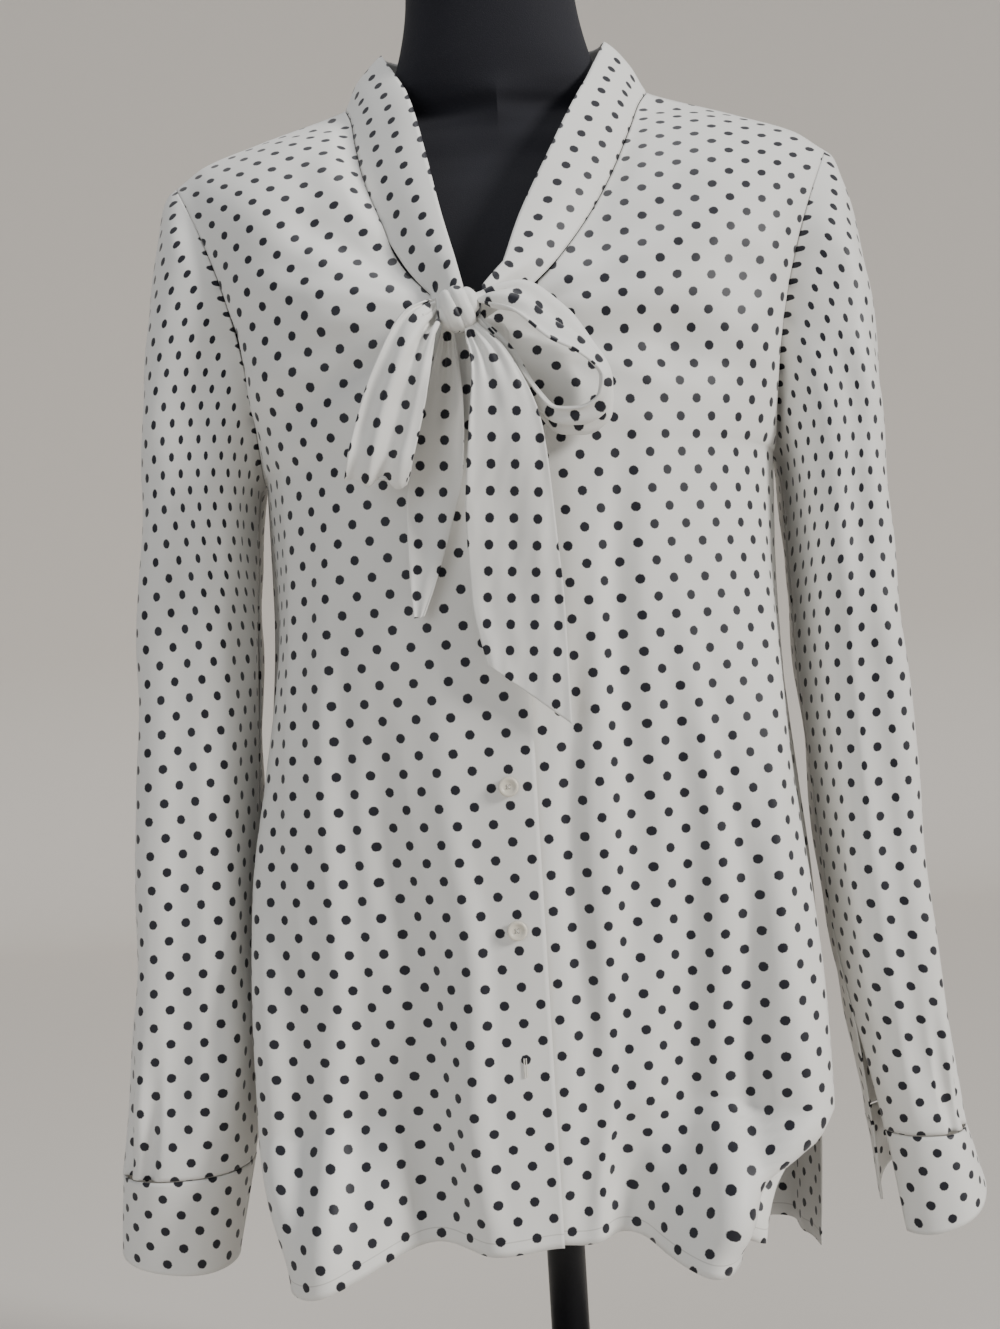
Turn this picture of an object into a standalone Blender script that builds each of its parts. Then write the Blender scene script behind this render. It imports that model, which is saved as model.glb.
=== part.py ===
"""A tie neck blouse, worn by a plain limbless dress form that stands on a pole and a round base.

Metres. X runs to the viewer's right, Y away from the viewer, Z up. The origin is at the centre of
the base's underside. Cloth is a wall round sections worked out from the tables below: each table
names its columns, and smooth curves run from one row to the next.
"""

import math

import bpy
import numpy as np

# Cloth and seams.
WALL = 0.0015
DOUBLE_WALL = 0.0020
SEAM_GAP = 0.0007
SHOULDER_GAP = 0.0013
LAP = 0.0155
LAP_INSET = 0.0028

# Main sizes of the blouse.
CENTRE_X = -0.018
NECK_HALF_WIDTH = 0.095
NECK_POINT_Z = 0.878
V_POINT_Z = 0.737
SHOULDER_HALF_WIDTH = 0.203
SHOULDER_TIP_Z = 0.834
UNDERARM_X = 0.158
UNDERARM_Z = 0.645
UNDERARM_V = 0.66
V_CORNER = 0.7733
ARMHOLE_HALF_DEPTH = 0.058
ARMHOLE_INSET = {"front": 0.014, "back": 0.008}
SLIT_TOP_Z = 0.257
BUTTON_X = -0.0185
BUTTON_RADIUS = 0.0057
BUTTON_PITCH = 0.0812
LOWEST_BUTTON_Z = 0.375
BUTTON_COUNT = 5

# Stand.
BASE_RADIUS = 0.150
POLE_RADIUS = 0.012
POLE_FIT = 0.0004
POLE_FOOT_Z = 0.0085
POLE_TOP_Z = 0.330
SOCKET_DEPTH_PAST_POLE = 0.0004

# Columns: v from hem to shoulder, x from the centre line, y, z, forward bulge of the row.
FRONT_EDGE = (
    (0.000, -LAP, -0.1220, 0.194, 0.000),
    (0.180, -LAP, -0.1240, 0.300, 0.000),
    (0.400, -LAP, -0.1270, 0.450, 0.000),
    (0.560, -LAP, -0.1310, 0.580, 0.000),
    (0.660, -LAP, -0.1300, 0.650, 0.000),
    (0.745, -LAP, -0.1190, 0.714, 0.002),
    (V_CORNER, 0.028, -0.1130, 0.737, 0.005),
    (0.830, 0.052, -0.0930, 0.768, 0.009),
    (0.887, 0.071, -0.0670, 0.806, 0.013),
    (0.943, 0.084, -0.0360, 0.846, 0.008),
    (0.972, 0.0895, -0.0170, 0.866, 0.003),
    (1.000, NECK_HALF_WIDTH, -SHOULDER_GAP / 2, NECK_POINT_Z, 0.000),
)
# Columns: v, y, z of the back's centre line.
BACK_CENTRE = (
    (0.00, 0.106, 0.140),
    (0.15, 0.107, 0.250),
    (0.40, 0.101, 0.420),
    (0.60, 0.103, 0.580),
    (0.70, 0.107, 0.660),
    (0.80, 0.108, 0.730),
    (0.90, 0.101, 0.815),
    (1.00, 0.080, 0.884),
)
# Columns: share of the way from the back's centre to the shoulder tip, x, y, z.
BACK_TOP = (
    (0.00, 0.000, 0.080, 0.884),
    (0.26, 0.058, 0.062, 0.886),
    (0.42, 0.088, 0.026, 0.882),
    (0.50, NECK_HALF_WIDTH, SHOULDER_GAP / 2, NECK_POINT_Z),
    (0.755, 0.150, SHOULDER_GAP / 2, 0.8605),
    (0.917, 0.185, SHOULDER_GAP / 2, 0.8475),
    (1.00, SHOULDER_HALF_WIDTH, SHOULDER_GAP / 2, SHOULDER_TIP_Z),
)
# Columns: v, x, front z, back z of each side seam, up to the underarm.
SIDE_SEAM = {
    1: (
        (0.00, 0.1600, 0.186, 0.142),
        (0.14, 0.1660, 0.262, 0.245),
        (0.22, 0.1672, 0.318, 0.300),
        (0.40, 0.1610, 0.450, 0.430),
        (0.56, 0.1555, 0.570, 0.560),
        (0.66, UNDERARM_X, UNDERARM_Z, UNDERARM_Z),
    ),
    -1: (
        (0.00, 0.1660, 0.186, 0.142),
        (0.14, 0.1715, 0.262, 0.245),
        (0.24, 0.1735, 0.335, 0.320),
        (0.33, 0.1720, 0.400, 0.380),
        (0.42, 0.1665, 0.465, 0.445),
        (0.56, 0.1585, 0.570, 0.560),
        (0.66, UNDERARM_X, UNDERARM_Z, UNDERARM_Z),
    ),
}
# How far each panel's corner swings away from the side seam at the open slit: x, y, z.
SLIT_SWING = {1: (-0.044, -0.086, -0.006), -1: (-0.002, -0.056, -0.010)}
BACK_SWING = {1: (0.004, 0.020, 0.000), -1: (-0.004, 0.018, 0.000)}
HEM_DROP_PER_FOLD = 0.36

# Hanging folds. Columns: place across the panel from its centre to its side, half width of the
# fold as a share of the panel, height where it fades out, depth at the hem (minus is a hollow).
FRONT_FOLDS = {
    1: (
        (0.15, 0.13, 0.48, -0.004),
        (0.41, 0.17, 0.62, -0.013),
        (0.66, 0.19, 0.66, 0.028),
        (0.87, 0.12, 0.56, -0.011),
    ),
    -1: (
        (0.16, 0.15, 0.48, 0.004),
        (0.40, 0.20, 0.62, -0.014),
        (0.71, 0.22, 0.66, 0.026),
        (0.92, 0.10, 0.52, -0.006),
    ),
}
BACK_FOLDS = (
    (-0.74, 0.15, 0.60, 0.018),
    (-0.52, 0.10, 0.58, -0.010),
    (-0.31, 0.14, 0.64, 0.021),
    (-0.05, 0.13, 0.60, -0.010),
    (0.22, 0.14, 0.66, 0.020),
    (0.46, 0.11, 0.58, -0.011),
    (0.70, 0.15, 0.62, 0.019),
)
# Slanting creases on the chest. Columns: x and z at each end, half width, depth.
CHEST_CREASES = (
    (-0.135, 0.800, -0.048, 0.742, 0.011, -0.0045),
    (-0.118, 0.838, -0.058, 0.768, 0.010, 0.0035),
    (-0.170, 0.745, -0.075, 0.690, 0.013, -0.0035),
    (0.125, 0.815, 0.035, 0.735, 0.013, -0.0030),
    (0.155, 0.760, 0.070, 0.690, 0.014, -0.0030),
)

# Columns: v from armhole to cuff, inner x and z, outer x and z, y of the middle, half depth.
SLEEVE = {
    1: (
        (0.00, UNDERARM_X, UNDERARM_Z, SHOULDER_HALF_WIDTH, SHOULDER_TIP_Z, 0.000, ARMHOLE_HALF_DEPTH),
        (0.02, 0.1596, 0.6438, 0.2075, 0.8300, 0.000, 0.0595),
        (0.08, 0.1620, 0.641, 0.2145, 0.811, 0.000, 0.0630),
        (0.17, 0.1645, 0.622, 0.2205, 0.770, 0.000, 0.0680),
        (0.27, 0.1650, 0.588, 0.2245, 0.700, -0.002, 0.0700),
        (0.38, 0.1655, 0.540, 0.2270, 0.605, -0.004, 0.0690),
        (0.55, 0.1695, 0.455, 0.2305, 0.490, -0.008, 0.0650),
        (0.75, 0.1775, 0.350, 0.2350, 0.362, -0.012, 0.0600),
        (0.90, 0.1860, 0.275, 0.2420, 0.275, -0.016, 0.0550),
        (1.00, 0.1915, 0.231, 0.2490, 0.230, -0.018, 0.0490),
    ),
    -1: (
        (0.00, UNDERARM_X, UNDERARM_Z, SHOULDER_HALF_WIDTH, SHOULDER_TIP_Z, 0.000, ARMHOLE_HALF_DEPTH),
        (0.02, 0.1597, 0.6438, 0.2075, 0.8300, 0.000, 0.0595),
        (0.08, 0.1625, 0.641, 0.2140, 0.811, 0.000, 0.0630),
        (0.17, 0.1655, 0.622, 0.2210, 0.768, 0.000, 0.0670),
        (0.27, 0.1670, 0.588, 0.2285, 0.700, -0.002, 0.0690),
        (0.38, 0.1690, 0.540, 0.2350, 0.605, -0.004, 0.0680),
        (0.55, 0.1735, 0.455, 0.2435, 0.490, -0.008, 0.0640),
        (0.75, 0.1785, 0.350, 0.2535, 0.362, -0.012, 0.0590),
        (0.90, 0.1840, 0.275, 0.2625, 0.275, -0.016, 0.0540),
        (1.00, 0.1890, 0.231, 0.2690, 0.230, -0.018, 0.0480),
    ),
}
# The same columns for a cuff, from its seam to its rim, and how much lower its front lies.
CUFF = {
    1: (
        (0.00, 0.1915, 0.2300, 0.2492, 0.2290, -0.018, 0.0488, 0.000),
        (1.00, 0.1955, 0.1800, 0.2575, 0.1960, -0.026, 0.0460, 0.013),
    ),
    -1: (
        (0.00, 0.1890, 0.2300, 0.2692, 0.2290, -0.018, 0.0478, 0.000),
        (1.00, 0.2010, 0.1730, 0.2725, 0.1830, -0.018, 0.0420, 0.005),
    ),
}
# The open cuff of the +X sleeve: half the opening, in radians, at the slit's top, cuff seam and rim.
OPEN_SLIT = ((0.86, 0.0), (1.00, 0.22))
OPEN_CUFF = (0.24, 0.42)
OPENING_SHIFT = 0.055
# Lengthwise folds of a sleeve. Columns: place round it in turns from the outer line, half width, depth.
SLEEVE_FOLDS = (
    (0.13, 0.07, 0.0045),
    (0.24, 0.06, -0.0040),
    (0.36, 0.06, 0.0035),
    (0.62, 0.07, -0.0040),
    (0.76, 0.07, 0.0050),
    (0.90, 0.06, -0.0035),
)
CUFF_PLEATS = ((0.10, 0.035, -0.0040), (0.18, 0.035, -0.0040), (0.80, 0.035, -0.0035))

# Free edge of the tie collar. Columns: v as in FRONT_EDGE, x from the centre line, y, z.
COLLAR_EDGE = {
    1: (
        (V_CORNER, 0.0125, -0.1200, 0.7525),
        (0.830, 0.0190, -0.1030, 0.780),
        (0.887, 0.0340, -0.0800, 0.823),
        (0.943, 0.0490, -0.0520, 0.864),
        (1.000, 0.0700, 0.0020, 0.912),
    ),
    -1: (
        (V_CORNER, 0.0148, -0.1200, 0.7565),
        (0.830, 0.0250, -0.1020, 0.786),
        (0.887, 0.0370, -0.0800, 0.825),
        (0.943, 0.0495, -0.0520, 0.864),
        (1.000, 0.0700, 0.0020, 0.912),
    ),
}
# Where the collar runs into the knot: x, y, z of its seam and of its free edge.
COLLAR_END = {
    1: ((-0.0175, -0.1300, 0.7170), (-0.0165, -0.1300, 0.7375)),
    -1: ((-0.0430, -0.1300, 0.7170), (-0.0265, -0.1275, 0.7375)),
}
COLLAR_END_SHARE = 0.09
COLLAR_FRONT_SHARE = 0.64
# Its edge behind the neck. Columns: share of BACK_TOP from the neck point to the centre, x, y, z.
COLLAR_BACK_EDGE = (
    (0.50, 0.0700, 0.0020, 0.912),
    (0.36, 0.0720, 0.0400, 0.923),
    (0.18, 0.0440, 0.0680, 0.924),
    (0.00, 0.0000, 0.0760, 0.922),
)

# The bow. Columns: share of the length, then x, y, z of the left edge and of the right edge.
TAIL_RIGHT = (
    (0.00, -0.0275, -0.1446, 0.7121, -0.0205, -0.1451, 0.7148),
    (0.12, -0.0245, -0.1560, 0.690, -0.0045, -0.1550, 0.696),
    (0.30, -0.0285, -0.1600, 0.651, 0.0120, -0.1590, 0.654),
    (0.50, -0.0330, -0.1510, 0.604, 0.0165, -0.1500, 0.600),
    (0.75, -0.0325, -0.1430, 0.563, 0.0190, -0.1430, 0.548),
    (1.00, -0.0262, -0.1400, 0.5255, 0.0190, -0.1395, 0.4894),
)
TAIL_LEFT = (
    (0.00, -0.0395, -0.1362, 0.7148, -0.0335, -0.1364, 0.7116),
    (0.20, -0.0500, -0.1350, 0.6800, -0.0305, -0.1355, 0.6760),
    (0.45, -0.0625, -0.1370, 0.6350, -0.0330, -0.1380, 0.6340),
    (0.65, -0.0660, -0.1370, 0.6060, -0.0410, -0.1380, 0.6040),
    (0.85, -0.0662, -0.1360, 0.5750, -0.0520, -0.1370, 0.5720),
    (1.00, -0.0650, -0.1350, 0.5535, -0.0600, -0.1355, 0.5540),
)
LOOP_LEFT = (
    (0.00, -0.0420, -0.1405, 0.7300, -0.0415, -0.1418, 0.7180),
    (0.15, -0.0580, -0.1540, 0.7220, -0.0440, -0.1570, 0.7030),
    (0.35, -0.0790, -0.1610, 0.6880, -0.0500, -0.1640, 0.6720),
    (0.46, -0.0935, -0.1610, 0.6480, -0.0590, -0.1630, 0.6400),
    (0.50, -0.0980, -0.1530, 0.6300, -0.0640, -0.1540, 0.6260),
    (0.54, -0.0950, -0.1440, 0.6420, -0.0610, -0.1440, 0.6360),
    (0.70, -0.0800, -0.1420, 0.6850, -0.0530, -0.1430, 0.6750),
    (0.85, -0.0620, -0.1400, 0.7140, -0.0480, -0.1410, 0.7030),
    (1.00, -0.0440, -0.1362, 0.7290, -0.0435, -0.1365, 0.7180),
)
LOOP_RIGHT = (
    (0.00, -0.0205, -0.1390, 0.7305, -0.0188, -0.1460, 0.7250),
    (0.12, 0.0050, -0.1320, 0.7370, -0.0020, -0.1570, 0.7180),
    (0.28, 0.0270, -0.1280, 0.7240, 0.0180, -0.1630, 0.7000),
    (0.40, 0.0400, -0.1290, 0.7050, 0.0335, -0.1640, 0.6910),
    (0.50, 0.0505, -0.1340, 0.6790, 0.0455, -0.1630, 0.6780),
    (0.58, 0.0490, -0.1360, 0.6590, 0.0435, -0.1600, 0.6690),
    (0.66, 0.0365, -0.1362, 0.6510, 0.0320, -0.1570, 0.6630),
    (0.74, 0.0235, -0.1362, 0.6520, 0.0200, -0.1550, 0.6640),
    (0.84, 0.0095, -0.1355, 0.6690, 0.0075, -0.1530, 0.6780),
    (0.93, -0.0030, -0.1340, 0.6970, -0.0045, -0.1490, 0.6990),
    (1.00, -0.0186, -0.1370, 0.7195, -0.0188, -0.1430, 0.7180),
)
# Pleats across each ribbon. Columns: waves, height at the knot, height at the free end.
TAIL_PLEATS = (1.0, 0.0015, 0.0006)
LOOP_PLEATS = (2.0, 0.0022, 0.0028)
KNOT_CENTRE = (-0.0300, -0.1400, 0.7230)
KNOT_RADII = (0.0108, 0.0115, 0.0118)

# Dress form. Columns: z, half width, y of the front, y of the back, how pointed the section is.
FORM_RINGS = (
    (0.250, 0.100, -0.068, 0.064, 0.90),
    (0.256, 0.126, -0.085, 0.081, 0.90),
    (0.275, 0.139, -0.098, 0.091, 0.90),
    (0.320, 0.145, -0.104, 0.093, 0.90),
    (0.380, 0.142, -0.102, 0.091, 0.90),
    (0.470, 0.118, -0.092, 0.078, 0.90),
    (0.550, 0.131, -0.106, 0.084, 0.90),
    (0.625, 0.144, -0.120, 0.092, 0.90),
    (0.680, 0.146, -0.112, 0.095, 0.90),
    (0.735, 0.148, -0.094, 0.092, 0.90),
    (0.780, 0.156, -0.073, 0.084, 0.93),
    (0.810, 0.169, -0.058, 0.070, 1.00),
    (0.824, 0.178, -0.050, 0.060, 1.05),
    (0.835, 0.1850, -0.045, 0.054, 1.15),
    (0.845, 0.1760, -0.043, 0.052, 1.42),
    (0.855, 0.1530, -0.041, 0.051, 1.75),
    (0.865, 0.1245, -0.041, 0.051, 2.10),
    (0.874, 0.0910, -0.0430, 0.053, 1.60),
    (0.885, 0.0720, -0.0420, 0.054, 1.15),
    (0.900, 0.0615, -0.0425, 0.054, 0.98),
    (0.943, 0.0530, -0.0440, 0.052, 0.95),
    (0.968, 0.0520, -0.0445, 0.051, 0.95),
    (0.974, 0.0490, -0.0420, 0.048, 0.95),
)

# Principled BSDF: colour, roughness, metallic.
MATERIALS = {
    "ivory_crepe": ((0.80, 0.78, 0.73), 0.62, 0.0),
    "pearl_button": ((0.78, 0.73, 0.62), 0.30, 0.0),
    "black_jersey": ((0.022, 0.022, 0.030), 0.88, 0.0),
    "black_metal": ((0.018, 0.018, 0.020), 0.45, 0.8),
}


def curve(rows, at):
    """The other columns of a table at places along its first, on curves that never overshoot a row."""
    table = np.asarray(sorted(rows), float)
    knots, values = table[:, 0], table[:, 1:]
    step = np.diff(knots)[:, None]
    rise = np.diff(values, axis=0) / step
    slope = np.vstack([rise[:1], np.zeros_like(rise[1:]), rise[-1:]])
    before, after = rise[:-1], rise[1:]
    same_way = before * after > 0
    total = np.where(same_way, before + after, 1.0)
    slope[1:-1] = np.where(same_way, 2 * before * after / total, 0.0)
    at = np.clip(np.asarray(at, float), knots[0], knots[-1])
    i = np.clip(np.searchsorted(knots, at, side="right") - 1, 0, len(knots) - 2)
    h = step[i]
    t = ((at - knots[i]) / np.diff(knots)[i])[..., None]
    start, end = values[i], values[i + 1]
    return (
        start * (2 * t**3 - 3 * t**2 + 1)
        + end * (3 * t**2 - 2 * t**3)
        + slope[i] * h * (t**3 - 2 * t**2 + t)
        + slope[i + 1] * h * (t**3 - t**2)
    )


def smooth(t):
    t = np.clip(t, 0.0, 1.0)
    return t * t * (3 - 2 * t)


def hump(distance, half_width):
    """1 in the middle, 0 from half_width outwards, round between."""
    return 0.5 + 0.5 * np.cos(np.pi * np.clip(np.abs(distance) / half_width, 0, 1))


def centre_line(z):
    """The front's centre slides sideways from the neck points down to the knot."""
    return CENTRE_X * np.clip((NECK_POINT_Z - z) / (NECK_POINT_Z - V_POINT_Z), 0, 1)


def armhole(v, half):
    """A point of the armhole on the +X side, from the underarm at UNDERARM_V to the tip at 1."""
    angle = math.pi * (1 - (v - UNDERARM_V) / (1 - UNDERARM_V))
    middle_x = (SHOULDER_HALF_WIDTH + UNDERARM_X) / 2
    middle_z = (SHOULDER_TIP_Z + UNDERARM_Z) / 2
    x = middle_x + (SHOULDER_HALF_WIDTH - UNDERARM_X) / 2 * math.cos(angle)
    z = middle_z + (SHOULDER_TIP_Z - UNDERARM_Z) / 2 * math.cos(angle)
    x -= ARMHOLE_INSET[half] * math.sin(angle) ** 2
    toward = -1 if half == "front" else 1
    return np.array([x, toward * ARMHOLE_HALF_DEPTH * math.sin(angle), z])


def side_edge(v, half, side):
    """The outer edge of a panel's row on the +X side: side seam, then armhole."""
    toward = -1 if half == "front" else 1
    if v >= UNDERARM_V:
        point = armhole(v, half)
        up = (v - UNDERARM_V) / (1 - UNDERARM_V)
        point[1] += toward * (SEAM_GAP * (1 - up) + SHOULDER_GAP * up) / 2
        return point
    x, front_z, back_z = curve(SIDE_SEAM[side], v)
    z = front_z if half == "front" else back_z
    hem_z = SIDE_SEAM[side][0][2] if half == "front" else SIDE_SEAM[side][0][3]
    swing = SLIT_SWING[side] if half == "front" else BACK_SWING[side]
    below_slit_top = np.clip((SLIT_TOP_Z - z) / (SLIT_TOP_Z - hem_z), 0, 1)
    open_share = 1 - (1 - below_slit_top) ** 2
    moved = np.array([x, toward * SEAM_GAP / 2, z])
    return moved + np.array(swing) * open_share


def row_points(inner, outer, bulge, wrap, fine=65):
    """A row of a panel, from its centre edge to its side edge, seen from above.

    wrap 1 rounds it off into the side seam, and 0 lets it run out towards an armhole.
    """
    share = np.linspace(0, 1, fine)
    roundness = 0.82
    across = wrap * np.sin(share * math.pi / 2) ** roundness + (1 - wrap) * share
    along = wrap * np.cos(share * math.pi / 2) ** roundness + (1 - wrap) * (1 - share**2)
    rise = wrap * smooth(share) + (1 - wrap) * share
    x = inner[0] + (outer[0] - inner[0]) * across
    y = outer[1] + (inner[1] - outer[1]) * along - bulge * 4 * across * (1 - across)
    z = inner[2] + (outer[2] - inner[2]) * rise
    return np.stack([x, y, z], 1)


def row_wrap(v):
    return 1 - smooth((v - 0.84) / 0.16)


def shoulder_crown(shares):
    """How far the shoulder line stands above a straight line from neck point to tip."""
    line = curve(BACK_TOP, np.linspace(0.5, 1, 40))
    across = (line[:, 0] - NECK_HALF_WIDTH) / (SHOULDER_HALF_WIDTH - NECK_HALF_WIDTH)
    crown = line[:, 2] - (NECK_POINT_Z + (SHOULDER_TIP_Z - NECK_POINT_Z) * across)
    return np.interp(shares, across, crown)


def spread_evenly(points, shares):
    """Points at these shares of a line's length."""
    lengths = np.concatenate([[0], np.cumsum(np.linalg.norm(np.diff(points, axis=0), axis=1))])
    lengths /= lengths[-1]
    return np.stack([np.interp(shares, lengths, points[:, k]) for k in range(3)], 1)


def fold_offset(shares, z, folds, hem_z):
    """How far the hanging folds push a row out, at these places across the panel."""
    offset = np.zeros_like(shares)
    for place, half_width, top_z, depth in folds:
        grown = smooth((top_z - z) / (top_z - hem_z))
        offset += depth * grown * hump(shares - place, half_width)
    return offset * smooth((1 - np.abs(shares)) / 0.13)


def crease_offset(points, side):
    """How far the slanting chest creases push these points out."""
    offset = np.zeros(len(points))
    for x0, z0, x1, z1, half_width, depth in CHEST_CREASES:
        if x0 * side < 0:
            continue
        way = np.array([x1 - x0, z1 - z0])
        place = (points[:, [0, 2]] - np.array([x0, z0])) @ way / (way @ way)
        nearest = np.array([x0, z0]) + np.clip(place, 0, 1)[:, None] * way
        gap = np.linalg.norm(points[:, [0, 2]] - nearest, axis=1)
        offset += depth * hump(gap, 2 * half_width) * smooth(4 * np.clip(place, 0, 1)) * smooth(4 * (1 - place))
    return offset


def push_out(points, offset, away_from_y):
    """Moves a row's points along its level normal, away from the body."""
    along = np.gradient(points, axis=0)
    normal = np.stack([along[:, 1], -along[:, 0]], 1)
    normal /= np.maximum(np.linalg.norm(normal, axis=1), 1e-9)[:, None]
    facing = np.where((normal[:, 1] * away_from_y + normal[:, 0] * np.sign(points[:, 0]) * 0.5) < 0, -1, 1)
    moved = points.copy()
    moved[:, :2] += normal * (offset * facing)[:, None]
    return moved


def front_row(side, us, v):
    """One level line of a front, before the under layer is set back."""
    x, y, z, bulge = curve(FRONT_EDGE, v)
    inner = np.array([side * x + centre_line(z), y, z])
    outer = side_edge(v, "front", side) * np.array([side, 1, 1])
    row = spread_evenly(row_points(inner, outer, bulge, row_wrap(v)), us)
    row[:, 2] += shoulder_crown(us) * smooth((v - 0.80) / 0.20)
    offset = fold_offset(us, row[:, 2].mean(), FRONT_FOLDS[side], FRONT_EDGE[0][3])
    row = push_out(row, offset + crease_offset(row, side), -1)
    row[:, 2] -= HEM_DROP_PER_FOLD * offset * smooth(1 - v / 0.35)
    return row


def front_panel(side, us, vs):
    """The outer face of one front. side 1 is at +X. us runs from the centre edge to the side."""
    us = np.asarray(us, float)
    grid = []
    for v in vs:
        row = front_row(side, us, v)
        if side == 1:
            over = front_row(-1, np.linspace(0, 0.5, 40), v)[::-1]
            behind = np.interp(row[:, 0], over[:, 0], over[:, 1]) + LAP_INSET
            under = smooth((0.035 - row[:, 0]) / 0.025) * smooth((V_CORNER + 0.05 - v) / 0.04)
            row[:, 1] = row[:, 1] * (1 - under) + behind * under
        grid.append(row)
    return np.array(grid)


def back_panel(us, vs):
    """The outer face of the back, from the -X side at -1 to the +X side at 1."""
    us = np.asarray(us, float)
    top = curve(BACK_TOP, np.linspace(0, 1, 65))
    grid = []
    for v in vs:
        y, z = curve(BACK_CENTRE, v)
        row = np.empty((len(us), 3))
        left = np.clip((1 - v) / 0.20, 0, 1)
        share = np.array([1 - left, 1 - left, 1 - left**1.5])
        for side in (-1, 1):
            chosen = us * side >= 0
            outer = side_edge(v, "back", side)
            line = row_points(np.array([0, y, z]), outer, 0.0, row_wrap(v))
            half = spread_evenly(line, np.abs(us[chosen]))
            half = half * (1 - share) + spread_evenly(top, np.abs(us[chosen])) * share
            row[chosen] = half * np.array([side, 1, 1])
        offset = fold_offset(us, row[:, 2].mean(), BACK_FOLDS, BACK_CENTRE[0][2])
        grid.append(push_out(row, offset, 1))
    return np.array(grid)


def ring(columns, turns, roundness=0.86):
    """Points round a sleeve section. turns runs from 0 at the outer line through the front to 1."""
    inner_x, inner_z, outer_x, outer_z, y_mid, half_depth = columns
    angle = 2 * np.pi * turns
    c = np.sign(np.cos(angle)) * np.abs(np.cos(angle)) ** roundness
    s = np.sign(np.sin(angle)) * np.abs(np.sin(angle)) ** roundness
    x = (inner_x + outer_x) / 2 + (outer_x - inner_x) / 2 * c
    z = (inner_z + outer_z) / 2 + (outer_z - inner_z) / 2 * c
    return np.stack([x, y_mid - half_depth * s, z], 1)


def sleeve_surface(side, shares, vs):
    """The outer face of a sleeve. shares runs round it from the underarm seam through the front."""
    shares = np.asarray(shares, float)
    grid = []
    for v in vs:
        columns = curve(SLEEVE[side], v)
        slit = 0.0
        if side == 1:
            slit = float(np.interp(v, *zip(*OPEN_SLIT)))
        edge = 0.0006 + slit / (2 * math.pi)
        shift = OPENING_SHIFT * smooth((v - 0.70) / 0.25) if side == 1 else 0.0
        turns = (0.5 - shift - edge) - shares * (1 - 2 * edge)
        blend = smooth(v / 0.08)
        points = ring(columns, turns, 1.0 - 0.14 * blend)
        angle = 2 * np.pi * turns
        inset = np.where(np.sin(angle) > 0, ARMHOLE_INSET["front"], ARMHOLE_INSET["back"])
        points[:, 0] -= inset * np.sin(angle) ** 2 * (1 - smooth(v / 0.30))
        points[:, 0] += SEAM_GAP * (1 - blend)
        offset = np.zeros_like(turns)
        for place, half_width, depth in SLEEVE_FOLDS:
            gap = (turns - place + 0.5) % 1 - 0.5
            offset += depth * hump(gap, half_width) * smooth(v / 0.3) * smooth((1.0 - v) / 0.12)
        for place, half_width, depth in CUFF_PLEATS:
            gap = (turns - place + 0.5) % 1 - 0.5
            offset += depth * hump(gap, half_width) * smooth((v - 0.80) / 0.15)
        middle = np.array([(columns[0] + columns[2]) / 2, columns[4], (columns[1] + columns[3]) / 2])
        away = points - middle
        away /= np.linalg.norm(away, axis=1)[:, None]
        points = points + away * offset[:, None]
        grid.append(points * np.array([side, 1, 1]))
    return np.array(grid)


def cuff_surface(side, shares, vs):
    grid = []
    for v in vs:
        opening, shift = 0.004, 0.0
        if side == 1:
            opening, shift = np.interp(v, (0, 1), OPEN_CUFF) / (2 * math.pi), OPENING_SHIFT
        turns = (0.5 - shift - opening) - np.asarray(shares) * (1 - 2 * opening)
        *columns, front_drop = curve(CUFF[side], v)
        points = ring(columns, turns)
        points[:, 2] -= front_drop * np.sin(2 * np.pi * turns)
        grid.append(points * np.array([side, 1, 1]))
    return np.array(grid)


def neckline(along, side):
    """Seam and free edge of the collar on one side, 0 at the knot, 1 at the back's centre."""
    if along > COLLAR_FRONT_SHARE:
        share = 0.50 * (1 - (along - COLLAR_FRONT_SHARE) / (1 - COLLAR_FRONT_SHARE))
        across = np.array([side, 1, 1])
        return curve(BACK_TOP, share) * across, curve(COLLAR_BACK_EDGE, share) * across
    up = max(along - COLLAR_END_SHARE, 0) / (COLLAR_FRONT_SHARE - COLLAR_END_SHARE)
    v = V_CORNER + (1 - V_CORNER) * up
    ends = []
    for point in (curve(FRONT_EDGE, v)[:3], curve(COLLAR_EDGE[side], v)):
        ends.append(np.array([side * point[0] + centre_line(point[2]), point[1], point[2]]))
    down = smooth(1 - along / COLLAR_END_SHARE)
    knot_ends = np.array(COLLAR_END[side])
    return tuple(end * (1 - down) + knot_ends[k] * down for k, end in enumerate(ends))


def collar_surface(us, ws):
    """The outer face of the tie collar, from the knot at -X round the neck to the knot at +X."""
    grid = []
    for u in us:
        side = -1 if u < 0 else 1
        seam, edge = neckline(1 - abs(u), side)
        way = (edge - seam) / np.linalg.norm(edge - seam)
        seam = seam + way * SEAM_GAP * 2.4
        sideways = smooth(abs(u) / 0.42) * (1 - 0.5 * smooth((abs(u) - 0.42) / 0.4))
        outwards = np.array([side * sideways, 1 - 2 * smooth((abs(u) - 0.16) / 0.42), 0.25])
        outwards = outwards - way * (outwards @ way)
        outwards /= np.linalg.norm(outwards)
        rounding = 0.0035 * smooth((1.05 - abs(u)) / 0.15)
        grid.append([seam * (1 - w) + edge * w + outwards * rounding * 4 * w * (1 - w) for w in ws])
    return np.array(grid)


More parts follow.
